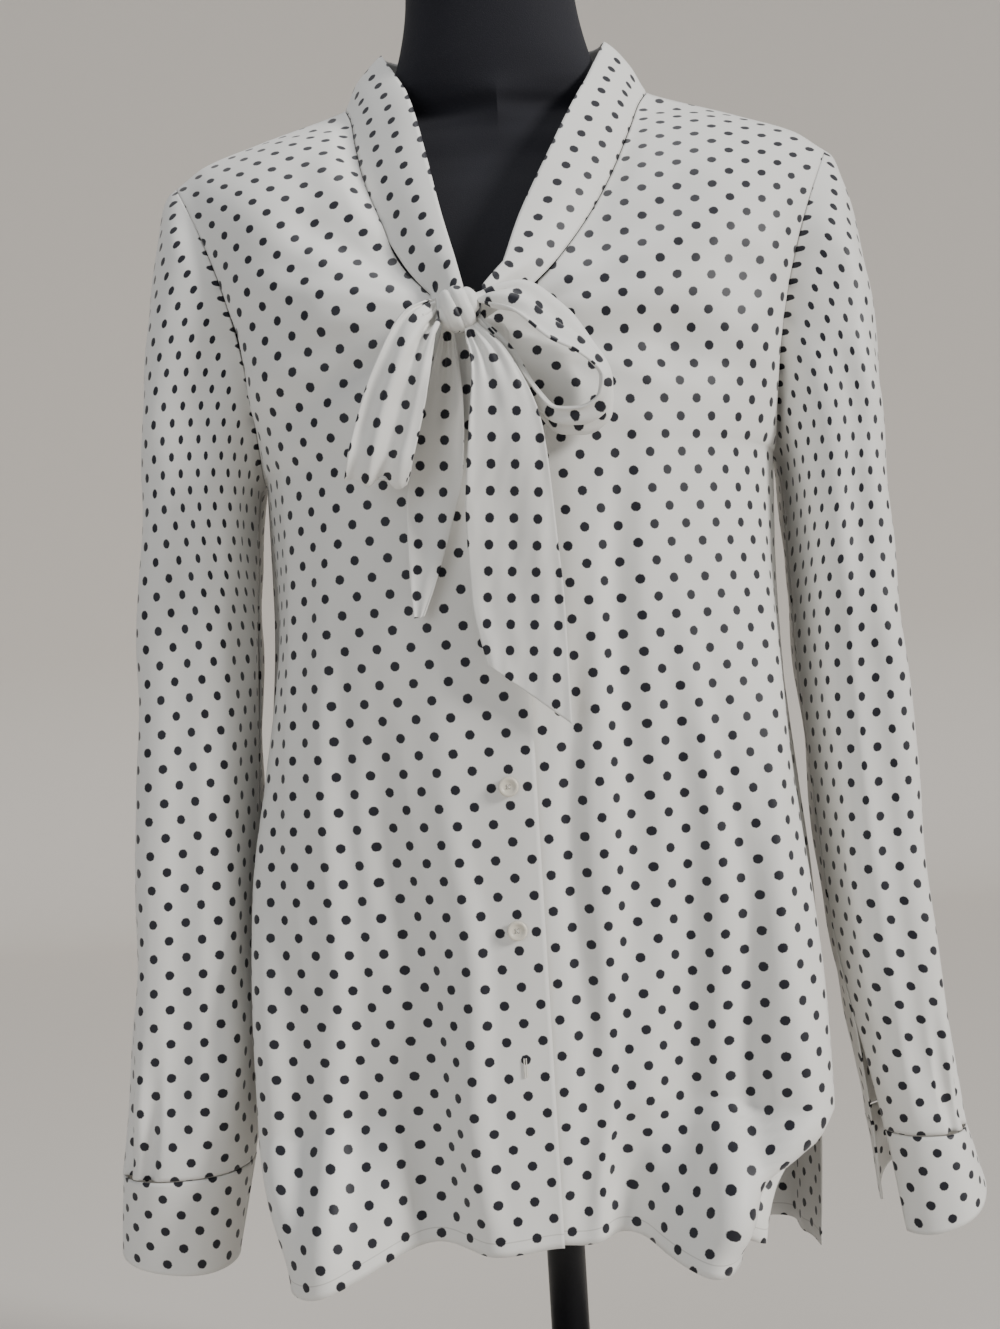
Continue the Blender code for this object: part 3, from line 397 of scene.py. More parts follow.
def row_points(inner, outer, bulge, wrap, fine=65):
    """A row of a panel, from its centre edge to its side edge, seen from above.

    wrap 1 rounds it off into the side seam, and 0 lets it run out towards an armhole.
    """
    share = np.linspace(0, 1, fine)
    roundness = 0.82
    across = wrap * np.sin(share * math.pi / 2) ** roundness + (1 - wrap) * share
    along = wrap * np.cos(share * math.pi / 2) ** roundness + (1 - wrap) * (1 - share**2)
    rise = wrap * smooth(share) + (1 - wrap) * share
    x = inner[0] + (outer[0] - inner[0]) * across
    y = outer[1] + (inner[1] - outer[1]) * along - bulge * 4 * across * (1 - across)
    z = inner[2] + (outer[2] - inner[2]) * rise
    return np.stack([x, y, z], 1)


def row_wrap(v):
    return 1 - smooth((v - 0.84) / 0.16)


def shoulder_crown(shares):
    """How far the shoulder line stands above a straight line from neck point to tip."""
    line = curve(BACK_TOP, np.linspace(0.5, 1, 40))
    across = (line[:, 0] - NECK_HALF_WIDTH) / (SHOULDER_HALF_WIDTH - NECK_HALF_WIDTH)
    crown = line[:, 2] - (NECK_POINT_Z + (SHOULDER_TIP_Z - NECK_POINT_Z) * across)
    return np.interp(shares, across, crown)


def spread_evenly(points, shares):
    """Points at these shares of a line's length."""
    lengths = np.concatenate([[0], np.cumsum(np.linalg.norm(np.diff(points, axis=0), axis=1))])
    lengths /= lengths[-1]
    return np.stack([np.interp(shares, lengths, points[:, k]) for k in range(3)], 1)


def fold_offset(shares, z, folds, hem_z):
    """How far the hanging folds push a row out, at these places across the panel."""
    offset = np.zeros_like(shares)
    for place, half_width, top_z, depth in folds:
        grown = smooth((top_z - z) / (top_z - hem_z))
        offset += depth * grown * hump(shares - place, half_width)
    return offset * smooth((1 - np.abs(shares)) / 0.13)


def crease_offset(points, side):
    """How far the slanting chest creases push these points out."""
    offset = np.zeros(len(points))
    for x0, z0, x1, z1, half_width, depth in CHEST_CREASES:
        if x0 * side < 0:
            continue
        way = np.array([x1 - x0, z1 - z0])
        place = (points[:, [0, 2]] - np.array([x0, z0])) @ way / (way @ way)
        nearest = np.array([x0, z0]) + np.clip(place, 0, 1)[:, None] * way
        gap = np.linalg.norm(points[:, [0, 2]] - nearest, axis=1)
        ends = smooth(4 * np.clip(place, 0, 1)) * smooth(4 * (1 - place))
        offset += depth * hump(gap, 2 * half_width) * ends
    return offset


def push_out(points, offset, away_from_y):
    """Moves a row's points along its level normal, away from the body."""
    along = np.gradient(points, axis=0)
    normal = np.stack([along[:, 1], -along[:, 0]], 1)
    normal /= np.maximum(np.linalg.norm(normal, axis=1), 1e-9)[:, None]
    facing = np.where((normal[:, 1] * away_from_y + normal[:, 0] * np.sign(points[:, 0]) * 0.5) < 0, -1, 1)
    moved = points.copy()
    moved[:, :2] += normal * (offset * facing)[:, None]
    return moved


def front_row(side, us, v):
    """One level line of a front, before the under layer is set back."""
    x, y, z, bulge = curve(FRONT_EDGE, v)
    inner = np.array([side * x + centre_line(z), y, z])
    outer = side_edge(v, "front", side) * np.array([side, 1, 1])
    row = spread_evenly(row_points(inner, outer, bulge, row_wrap(v)), us)
    row[:, 2] += shoulder_crown(us) * smooth((v - 0.80) / 0.20)
    offset = fold_offset(us, row[:, 2].mean(), FRONT_FOLDS[side], FRONT_EDGE[0][3])
    row = push_out(row, offset + crease_offset(row, side), -1)
    row[:, 2] -= HEM_DROP_PER_FOLD * offset * smooth(1 - v / 0.35)
    return row


def front_panel(side, us, vs):
    """The outer face of one front. side 1 is at +X. us runs from the centre edge to the side."""
    us = np.asarray(us, float)
    grid = []
    for v in vs:
        row = front_row(side, us, v)
        if side == 1:
            over = front_row(-1, np.linspace(0, 0.5, 40), v)[::-1]
            behind = np.interp(row[:, 0], over[:, 0], over[:, 1]) + LAP_INSET
            under = smooth((0.035 - row[:, 0]) / 0.025) * smooth((V_CORNER + 0.05 - v) / 0.04)
            row[:, 1] = row[:, 1] * (1 - under) + behind * under
        grid.append(row)
    return np.array(grid)


def back_panel(us, vs):
    """The outer face of the back, from the -X side at -1 to the +X side at 1."""
    us = np.asarray(us, float)
    top = curve(BACK_TOP, np.linspace(0, 1, 65))
    grid = []
    for v in vs:
        y, z = curve(BACK_CENTRE, v)
        row = np.empty((len(us), 3))
        left = np.clip((1 - v) / 0.20, 0, 1)
        share = np.array([1 - left, 1 - left, 1 - left**1.5])
        for side in (-1, 1):
            chosen = us * side >= 0
            outer = side_edge(v, "back", side)
            line = row_points(np.array([0, y, z]), outer, 0.0, row_wrap(v))
            half = spread_evenly(line, np.abs(us[chosen]))
            half = half * (1 - share) + spread_evenly(top, np.abs(us[chosen])) * share
            row[chosen] = half * np.array([side, 1, 1])
        offset = fold_offset(us, row[:, 2].mean(), BACK_FOLDS, BACK_CENTRE[0][2])
        grid.append(push_out(row, offset, 1))
    return np.array(grid)


def ring(columns, turns, roundness=0.86):
    """Points round a sleeve section. turns runs from 0 at the outer line through the front to 1."""
    inner_x, inner_z, outer_x, outer_z, y_mid, half_depth = columns
    angle = 2 * np.pi * turns
    c = np.sign(np.cos(angle)) * np.abs(np.cos(angle)) ** roundness
    s = np.sign(np.sin(angle)) * np.abs(np.sin(angle)) ** roundness
    x = (inner_x + outer_x) / 2 + (outer_x - inner_x) / 2 * c
    z = (inner_z + outer_z) / 2 + (outer_z - inner_z) / 2 * c
    return np.stack([x, y_mid - half_depth * s, z], 1)


def sleeve_surface(side, shares, vs):
    """The outer face of a sleeve. shares runs round it from the underarm seam through the front."""
    shares = np.asarray(shares, float)
    grid = []
    for v in vs:
        columns = curve(SLEEVE[side], v)
        slit = 0.0
        if side == 1:
            slit = float(np.interp(v, *zip(*OPEN_SLIT)))
        edge = 0.0006 + slit / (2 * math.pi)
        shift = OPENING_SHIFT * smooth((v - 0.70) / 0.25) if side == 1 else 0.0
        turns = (0.5 - shift - edge) - shares * (1 - 2 * edge)
        blend = smooth(v / 0.08)
        points = ring(columns, turns, 1.0 - 0.14 * blend)
        angle = 2 * np.pi * turns
        inset = np.where(np.sin(angle) > 0, ARMHOLE_INSET["front"], ARMHOLE_INSET["back"])
        points[:, 0] -= inset * np.sin(angle) ** 2 * (1 - smooth(v / 0.30))
        points[:, 0] += SEAM_GAP * (1 - blend)
        offset = np.zeros_like(turns)
        hanging = smooth(v / 0.3) * smooth((1.0 - v) / 0.12)
        gathered = smooth((v - 0.80) / 0.15)
        for rows, share in ((SLEEVE_FOLDS, hanging), (CUFF_PLEATS, gathered)):
            for place, half_width, depth in rows:
                gap = (turns - place + 0.5) % 1 - 0.5
                offset += depth * hump(gap, half_width) * share
        middle = np.array([(columns[0] + columns[2]) / 2, columns[4], (columns[1] + columns[3]) / 2])
        away = points - middle
        away /= np.linalg.norm(away, axis=1)[:, None]
        points = points + away * offset[:, None]
        grid.append(points * np.array([side, 1, 1]))
    return np.array(grid)


def cuff_surface(side, shares, vs):
    grid = []
    for v in vs:
        opening, shift = 0.004, 0.0
        if side == 1:
            opening, shift = np.interp(v, (0, 1), OPEN_CUFF) / (2 * math.pi), OPENING_SHIFT
        turns = (0.5 - shift - opening) - np.asarray(shares) * (1 - 2 * opening)
        *columns, front_drop = curve(CUFF[side], v)
        points = ring(columns, turns)
        points[:, 2] -= front_drop * np.sin(2 * np.pi * turns)
        grid.append(points * np.array([side, 1, 1]))
    return np.array(grid)


def neckline(along, side):
    """Seam and free edge of the collar on one side, 0 at the knot, 1 at the back's centre."""
    if along > COLLAR_FRONT_SHARE:
        share = 0.50 * (1 - (along - COLLAR_FRONT_SHARE) / (1 - COLLAR_FRONT_SHARE))
        across = np.array([side, 1, 1])
        return curve(BACK_TOP, share) * across, curve(COLLAR_BACK_EDGE, share) * across
    up = max(along - COLLAR_END_SHARE, 0) / (COLLAR_FRONT_SHARE - COLLAR_END_SHARE)
    v = V_CORNER + (1 - V_CORNER) * up
    ends = []
    for point in (curve(FRONT_EDGE, v)[:3], curve(COLLAR_EDGE[side], v)):
        ends.append(np.array([side * point[0] + centre_line(point[2]), point[1], point[2]]))
    down = smooth(1 - along / COLLAR_END_SHARE)
    knot_ends = np.array(COLLAR_END[side])
    return tuple(end * (1 - down) + knot_ends[k] * down for k, end in enumerate(ends))


def collar_surface(us, ws):
    """The outer face of the tie collar, from the knot at -X round the neck to the knot at +X."""
    grid = []
    for u in us:
        side = -1 if u < 0 else 1
        seam, edge = neckline(1 - abs(u), side)
        way = (edge - seam) / np.linalg.norm(edge - seam)
        seam = seam + way * SEAM_GAP * 2.4
        sideways = smooth(abs(u) / 0.42) * (1 - 0.5 * smooth((abs(u) - 0.42) / 0.4))
        outwards = np.array([side * sideways, 1 - 2 * smooth((abs(u) - 0.16) / 0.42), 0.25])
        outwards = outwards - way * (outwards @ way)
        outwards /= np.linalg.norm(outwards)
        rounding = 0.0035 * smooth((1.05 - abs(u)) / 0.15)
        grid.append([seam * (1 - w) + edge * w + outwards * rounding * 4 * w * (1 - w) for w in ws])
    return np.array(grid)


def ribbon_surface(rows, alongs, acrosses, pleats):
    """A strip of the bow between its left and right edges, with pleats that run along it."""
    waves, at_knot, at_end = pleats
    acrosses = np.asarray(acrosses)
    grid = []
    for s in alongs:
        here = curve(rows, s)
        ahead = curve(rows, min(s + 0.01, 1.0)) - curve(rows, max(s - 0.01, 0.0))
        left, right = here[:3], here[3:]
        normal = np.cross(right - left, ahead[:3] + ahead[3:])
        normal /= max(np.linalg.norm(normal), 1e-9)
        knot_share = abs(2 * s - 1) if rows in (LOOP_LEFT, LOOP_RIGHT) else 1 - s
        height = at_end + (at_knot - at_end) * knot_share
        wave = height * np.sin(2 * np.pi * waves * acrosses) * np.sin(np.pi * acrosses) ** 0.5
        ease = smooth(s / 0.06) * (smooth((1 - s) / 0.06) if waves > 1 else 1)
        grid.append(left + (right - left) * acrosses[:, None] + normal * (wave * ease)[:, None])
    return np.array(grid)


def grid_mesh(name, grid, turn_over):
    rows, columns = grid.shape[:2]
    faces = []
    for r in range(rows - 1):
        for c in range(columns - 1):
            a = r * columns + c
            face = (a, a + 1, a + columns + 1, a + columns)
            faces.append(face[::-1] if turn_over else face)
    mesh = bpy.data.meshes.new(name)
    mesh.from_pydata(grid.reshape(-1, 3).tolist(), [], faces)
    return mesh


# From here on: the looks. Each cloth piece is the solid's own surface, finer, with its creases.
THIN = 0.0008
DOUBLE_CLOTH = 0.0016
RIBBON_CLOTH = 0.0014
CREASE_SEED = 7.3
DOT_PITCH = 0.0145
DOT_RADIUS = 0.00275
HEM_WIDTH = 0.008
STITCH_WIDTH = 0.0006
FAR = 1.0
LIGHT_AIM = (0, 0, 0.5)
BUTTONHOLE_Z = 0.2974
# Long folds of the fronts. Columns: x and z at the top, x and z at the foot, half width, depth.
LONG_FOLDS = (
    (-0.156, 0.716, -0.155, 0.184, 0.016, -0.0050),
    (-0.112, 0.640, -0.138, 0.180, 0.017, 0.0060),
    (-0.090, 0.520, -0.071, 0.180, 0.018, -0.0060),
    (-0.052, 0.480, -0.042, 0.180, 0.013, 0.0035),
    (0.027, 0.600, 0.010, 0.180, 0.013, -0.0045),
    (0.060, 0.679, 0.040, 0.250, 0.016, -0.0060),
    (0.092, 0.600, 0.0935, 0.175, 0.017, 0.0060),
    (0.109, 0.500, 0.116, 0.200, 0.014, -0.0050),
    (0.135, 0.640, 0.140, 0.200, 0.014, 0.0035),
)


def grid_normals(grid):
    """Unit normals of a grid of points, on the side where rows cross columns."""
    down = np.gradient(grid, axis=0)
    across = np.gradient(grid, axis=1)
    normal = np.cross(across, down)
    return normal / np.maximum(np.linalg.norm(normal, axis=2), 1e-9)[..., None]


def noise_field(u, v, seed):
    """Smooth noise between about -1 and 1 at these places."""
    flat = [noise.noise(Vector((a, b, seed))) for a, b in zip(u.ravel(), v.ravel())]
    return np.array(flat).reshape(u.shape)


def panel_lengths(grid, middle):
    """How far each point lies along a hanging panel, across and upwards, in metres.

    Heights follow the middle column, so that the dots stay in level rows.
    """
    row_step = np.diff(grid, axis=1)
    walked = np.cumsum(np.hypot(row_step[..., 0], row_step[..., 1]), 1)
    u = np.concatenate([np.zeros((grid.shape[0], 1)), walked], 1)
    line = grid[:, middle]
    along = np.concatenate([[0], np.cumsum(np.hypot(np.diff(line[:, 2]), np.diff(line[:, 1])))])
    z = np.maximum.accumulate(line[:, 2])
    below = np.minimum(grid[..., 2] - z[0], 0)
    above = np.maximum(grid[..., 2] - z[-1], 0)
    return u, np.interp(grid[..., 2], z, along) + below + above


def hem_distance(grid):
    """How far each point lies above the hem, along its own column."""
    steps = np.linalg.norm(np.diff(grid, axis=0), axis=2)
    return np.concatenate([np.zeros((1, grid.shape[1])), np.cumsum(steps, 0)], 0)


def strip_lengths(grid):
    """The same for a narrow strip: along its rows' middle, and across it."""
    middle = grid[:, grid.shape[1] // 2]
    along = np.concatenate([[0], np.cumsum(np.linalg.norm(np.diff(middle, axis=0), axis=1))])
    widths = np.linalg.norm(np.diff(grid, axis=1), axis=2)
    across = np.concatenate([np.zeros((grid.shape[0], 1)), np.cumsum(widths, 1)], 1)
    across = across - across[:, -1:] / 2
    return across, np.repeat(along[:, None], grid.shape[1], 1)


def hanging_creases(u, v, z, amount, seed):
    """Fine soft folds that run with the hang of the cloth and grow towards the hem."""
    wide = noise_field(u / 0.036, v / 0.60, seed)
    fine = noise_field(u / 0.020, v / 0.28, seed + 11)
    soft = noise_field(u / 0.10, v / 0.12, seed + 23)
    grown = 0.25 + 0.75 * smooth((0.66 - z) / 0.40)
    return amount * grown * (0.75 * wide + 0.30 * fine) + 0.0012 * soft


def drag_lines(grid, seed):
    """Soft pulls that fan out from the knot over the chest, strongest near it."""
    dx = grid[..., 0] - KNOT_CENTRE[0]
    dz = grid[..., 2] - KNOT_CENTRE[2]
    far = np.hypot(dx, dz)
    angle = np.arctan2(dz, np.abs(dx) + 1e-6)
    fan = noise_field(angle * 5.0 + 3.0 * np.sign(dx), far / 0.20, seed)
    return 0.0046 * fan * smooth(far / 0.05) * smooth((0.21 - far) / 0.12) * smooth((dz + 0.09) / 0.07)


def long_folds(grid):
    """The long folds that hang from the bust, fading in at the top."""
    push = np.zeros(grid.shape[:2])
    for x0, z0, x1, z1, half_width, depth in LONG_FOLDS:
        down = np.clip((z0 - grid[..., 2]) / (z0 - z1), 0, 1)
        wander = 0.004 * np.sin(9 * down + 40 * x0)
        across = grid[..., 0] - (x0 + (x1 - x0) * down + wander)
        push += depth * hump(across, half_width * (0.8 + 0.4 * down)) * smooth((z0 - grid[..., 2]) / 0.14)
    return push


def start_material(name):
    """A new material with its nodes, its links and its Principled BSDF."""
    material = bpy.data.materials.new(name)
    material.use_nodes = True
    tree = material.node_tree
    return material, tree.nodes, tree.links, tree.nodes["Principled BSDF"]


def add_node(nodes, kind, settings, values):
    """A shader node with these settings, and with these constants on its inputs."""
    node = nodes.new("ShaderNode" + kind)
    for name, setting in settings.items():
        setattr(node, name, setting)
    for socket, value in values.items():
        node.inputs[socket].default_value = value
    return node


def math_node(nodes, links, operation, a, b=None, c=None):
    node = nodes.new("ShaderNodeMath")
    node.operation = operation
    for slot, value in enumerate((a, b, c)):
        if value is None:
            continue
        if isinstance(value, (int, float)):
            node.inputs[slot].default_value = value
        else:
            links.new(value, node.inputs[slot])
    return node.outputs[0]


def noise_node(nodes, links, place, scale, detail):
    node = add_node(nodes, "TexNoise", {}, {"Scale": scale, "Detail": detail})
    links.new(place, node.inputs["Vector"])
    return node.outputs["Fac"]


def fade_out(nodes, links, value, start, end):
    """1 below the start, 0 above the end, smooth between."""
    limits = {"From Min": start, "From Max": end, "To Min": 1, "To Max": 0}
    node = add_node(nodes, "MapRange", {"interpolation_type": "SMOOTHSTEP"}, limits)
    links.new(value, node.inputs["Value"])
    return node.outputs["Result"]


def cloth_material(name, turn):
    """Ivory crepe with round dots on a square lattice, turned by this many degrees on the cloth."""
    material, nodes, links, shader = start_material(name)
    uv = add_node(nodes, "UVMap", {"uv_map": "cloth"}, {}).outputs["UV"]
    lattice = {"Rotation": (0, 0, math.radians(turn)), "Scale": (1 / DOT_PITCH, 1 / DOT_PITCH, 1)}
    mapping = add_node(nodes, "Mapping", {}, lattice)
    links.new(uv, mapping.inputs["Vector"])
    vector = mapping.outputs["Vector"]
    centre, flat = {1: (0.5, 0.5, 0)}, {1: (1, 1, 0)}
    for operation, values in (("FRACTION", {}), ("SUBTRACT", centre), ("MULTIPLY", flat)):
        step = add_node(nodes, "VectorMath", {"operation": operation}, values)
        links.new(vector, step.inputs[0])
        vector = step.outputs["Vector"]
    length = add_node(nodes, "VectorMath", {"operation": "LENGTH"}, {})
    links.new(vector, length.inputs[0])
    blot = noise_node(nodes, links, uv, 900, 1)
    ragged = math_node(nodes, links, "MULTIPLY_ADD", blot, 0.05, length.outputs["Value"])
    rim = DOT_RADIUS / DOT_PITCH
    dot = fade_out(nodes, links, ragged, rim + 0.008, rim + 0.048)
    tones = {6: (0.800, 0.785, 0.745, 1), 7: (0.865, 0.855, 0.820, 1)}
    ground = add_node(nodes, "Mix", {"data_type": "RGBA"}, tones)
    links.new(noise_node(nodes, links, uv, 14, 3), ground.inputs[0])
    printed = add_node(nodes, "Mix", {"data_type": "RGBA"}, {7: (0.0125, 0.0125, 0.020, 1)})
    links.new(dot, printed.inputs[0])
    links.new(ground.outputs[2], printed.inputs[6])
    edge = add_node(nodes, "UVMap", {"uv_map": "hem"}, {})
    apart = nodes.new("ShaderNodeSeparateXYZ")
    links.new(edge.outputs["UV"], apart.inputs["Vector"])
    from_line = math_node(nodes, links, "SUBTRACT", apart.outputs["X"], HEM_WIDTH)
    from_line = math_node(nodes, links, "ABSOLUTE", from_line)
    darker = {"data_type": "RGBA", "blend_type": "MULTIPLY"}
    shaded = add_node(nodes, "Mix", darker, {7: (0.72, 0.71, 0.70, 1)})
    links.new(fade_out(nodes, links, from_line, 0, STITCH_WIDTH), shaded.inputs[0])
    links.new(printed.outputs[2], shaded.inputs[6])
    links.new(shaded.outputs[2], shader.inputs["Base Color"])
    shader.inputs["Roughness"].default_value = 0.50
    shader.inputs["Specular IOR Level"].default_value = 0.35
    shader.inputs["Sheen Weight"].default_value = 0.22
    shader.inputs["Sheen Roughness"].default_value = 0.45
    crepe = noise_node(nodes, links, uv, 1500, 2)
    crumple = noise_node(nodes, links, uv, 55, 3)
    height = math_node(nodes, links, "MULTIPLY_ADD", crumple, 6.0, crepe)
    bump = add_node(nodes, "Bump", {}, {"Strength": 0.35, "Distance": 0.00012})
    links.new(height, bump.inputs["Height"])
    links.new(bump.outputs["Normal"], shader.inputs["Normal"])
    return material


def plain_material(name, colour, roughness, metallic=0.0, sheen=0.0, grain=0.0, grain_scale=400, spread=0.25):
    """One colour with fine grain: two near tones, bumps, and uneven roughness."""
    material, nodes, links, shader = start_material(name)
    place = nodes.new("ShaderNodeTexCoord").outputs["Object"]
    speckle = noise_node(nodes, links, place, grain_scale, 4)
    dark, light = ((*(c * (1 + way * spread) for c in colour), 1) for way in (-1, 1))
    tones = add_node(nodes, "Mix", {"data_type": "RGBA"}, {6: dark, 7: light})
    links.new(speckle, tones.inputs[0])
    links.new(tones.outputs[2], shader.inputs["Base Color"])
    shader.inputs["Metallic"].default_value = metallic
    shader.inputs["Sheen Weight"].default_value = sheen
    limits = {"To Min": roughness - 0.06, "To Max": roughness + 0.06}
    uneven = add_node(nodes, "MapRange", {}, limits)
    links.new(speckle, uneven.inputs["Value"])
    links.new(uneven.outputs["Result"], shader.inputs["Roughness"])
    bump = add_node(nodes, "Bump", {}, {"Strength": grain, "Distance": 0.0003})
    links.new(speckle, bump.inputs["Height"])
    links.new(bump.outputs["Normal"], shader.inputs["Normal"])
    return material


def add_piece(name, mesh, material, nodes=()):
    piece = bpy.data.objects.new(name, mesh)
    bpy.context.scene.collection.objects.link(piece)
    mesh.materials.append(material)
    mesh.shade_smooth()
    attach(piece, "root")
    if nodes:
        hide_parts(*nodes)
    return piece


def cloth_piece(name, grid, u, v, material, node, turn_over, wall=THIN, from_hem=None):
    """A thin shell on a grid, with the cloth's own lengths as its UVs, and how far it is from its hem."""
    rows, columns = grid.shape[:2]
    mesh = grid_mesh(name, grid, turn_over)
    layer = mesh.uv_layers.new(name="cloth")
    corners = np.empty(len(mesh.loops), int)
    mesh.loops.foreach_get("vertex_index", corners)
    flat = np.stack([u.ravel()[corners], v.ravel()[corners]], 1).astype(np.float32)
    layer.data.foreach_set("uv", flat.ravel())
    apart = np.full(u.shape, FAR) if from_hem is None else from_hem
    second = mesh.uv_layers.new(name="hem")
    flat = np.stack([apart.ravel()[corners], np.zeros(len(corners))], 1).astype(np.float32)
    second.data.foreach_set("uv", flat.ravel())
    piece = add_piece(name, mesh, material, (node,) if node else ())
    thick = piece.modifiers.new("wall", "SOLIDIFY")
    thick.thickness = wall
    thick.offset = -1
    return piece


def grid_area(grid):
    a = np.cross(grid[1:, :-1] - grid[:-1, :-1], grid[:-1, 1:] - grid[:-1, :-1])
    b = np.cross(grid[1:, :-1] - grid[1:, 1:], grid[:-1, 1:] - grid[1:, 1:])
    return float((np.linalg.norm(a, axis=2).sum() + np.linalg.norm(b, axis=2).sum()) / 2)


def declare(grid):
    """Works out the piece's area and its widest and longest lines, rounded, and keeps none of them."""
    area = grid_area(grid)
    width = float(np.linalg.norm(np.diff(grid, axis=1), axis=2).sum(1).max())
    length = float(np.linalg.norm(np.diff(grid, axis=0), axis=2).sum(0).max())
    width, length = round(width + 0.0005, 3), round(length + 0.0005, 3)
    area = round(min(area, width * length), 4)


def panel_rows():
    return np.concatenate([np.linspace(0, UNDERARM_V, 100), np.linspace(UNDERARM_V, 1, 62)[1:]])


def build_fronts(material):
    vs = panel_rows()
    for side, name in ((1, "front_left"), (-1, "front_right")):
        us = np.linspace(0, 1, 96)
        grid = front_panel(side, us, vs)
        u, v = panel_lengths(grid, 48)
        u = u + np.array([curve(FRONT_EDGE, v)[0] for v in vs])[:, None]
        normal = grid_normals(grid) * (1 if side > 0 else -1)
        push = hanging_creases(u, v, grid[..., 2], 0.0056, CREASE_SEED + side)
        push += drag_lines(grid, CREASE_SEED + 5 * side) + long_folds(grid)
        edge = smooth((us - 0.02) / 0.12)[None, :] * smooth((1 - us) / 0.06)[None, :]
        top = smooth((1 - vs) / 0.05)[:, None]
        hem = 0.4 + 0.6 * smooth(vs / 0.05)[:, None]
        grid = grid + normal * (push * edge * top * hem)[..., None]
        from_hem = hem_distance(grid)
        piece = cloth_piece(f"cloth_{name}", grid, u * side, v, material, name, side < 0, from_hem=from_hem)
        declare(grid)


def build_back(material):
    vs = panel_rows()
    us = np.linspace(-1, 1, 181)
    grid = back_panel(us, vs)
    u, v = panel_lengths(grid, 90)
    u = u - u[:, 90:91]
    normal = -grid_normals(grid)
    push = hanging_creases(u, v, grid[..., 2], 0.0044, CREASE_SEED + 41)
    edge = smooth((1 - np.abs(us)) / 0.05)[None, :] * smooth((1 - vs) / 0.06)[:, None]
    grid = grid + normal * (push * edge)[..., None]
    piece = cloth_piece("cloth_back", grid, u, v, material, "back", True, from_hem=hem_distance(grid))
    declare(grid)


def build_sleeves(material):
    for side, name in ((1, "left"), (-1, "right")):
        shares = np.linspace(0, 1, 121)
        vs = np.concatenate([np.linspace(0, 0.3, 60), np.linspace(0.3, 1, 120)[1:]])
        grid = sleeve_surface(side, shares, vs)
        around = np.cumsum(np.linalg.norm(np.diff(grid, axis=1), axis=2), 1)
        u = np.concatenate([np.zeros((len(vs), 1)), around], 1)
        u = u - u[:, 60:61]
        v = hem_distance(grid[::-1])[::-1]
        normal = grid_normals(grid) * (-1 if side > 0 else 1)
        long_folds = 0.0024 * noise_field(u / 0.045, v / 0.35, CREASE_SEED + 3 * side)
        slant = 0.0026 * noise_field(u / 0.05 + v / 0.06, v / 0.16, CREASE_SEED + 9 * side)
        small = 0.0010 * noise_field(u / 0.03, v / 0.05, CREASE_SEED + 17 * side)
        ends = smooth(vs / 0.08)[:, None] * smooth((1 - vs) / 0.04)[:, None]
        seam = (smooth(shares / 0.04) * smooth((1 - shares) / 0.04))[None, :]
        grid = grid + normal * ((long_folds + slant + small) * ends * (0.3 + 0.7 * seam))[..., None]
        piece = cloth_piece(f"cloth_sleeve_{name}", grid, u, v, material, f"sleeve_{name}", side > 0)
        declare(grid)
        cuff_vs = np.linspace(0, 1, 24)
        cuff = cuff_surface(side, shares, cuff_vs)
        around = np.cumsum(np.linalg.norm(np.diff(cuff, axis=1), axis=2), 1)
        cu = np.concatenate([np.zeros((len(cuff_vs), 1)), around], 1)
        cu = cu - cu[:, 60:61]
        cv = -np.repeat(cuff_vs[:, None], len(shares), 1) * 0.058
        normal = grid_normals(cuff) * (-1 if side > 0 else 1)
        soft = 0.0008 * noise_field(cu / 0.03, cv / 0.04, CREASE_SEED + 29 * side)
        cuff = cuff + normal * soft[..., None]
        node = f"cuff_{name}"
        piece = cloth_piece("cloth_" + node, cuff, cu, cv, material, node, side > 0, wall=DOUBLE_CLOTH)
        declare(cuff)


def build_collar(material):
    us = np.linspace(-1, 1, 260)
    ws = np.linspace(0, 1, 20)
    grid = collar_surface(us, ws)
    across, along = strip_lengths(grid)
    normal = grid_normals(grid)
    push = 0.0012 * noise_field(across / 0.02, along / 0.06, CREASE_SEED + 51)
    pleat = 0.0016 * np.sin(across / 0.0042) * smooth((np.abs(us) - 0.80) / 0.18)[:, None]
    fade = smooth(ws / 0.15)[None, :]
    grid = grid + normal * ((push + pleat) * fade)[..., None]
    node = "tie_collar"
    piece = cloth_piece("cloth_" + node, grid, across, along, material, node, False, wall=DOUBLE_CLOTH)
    declare(grid)


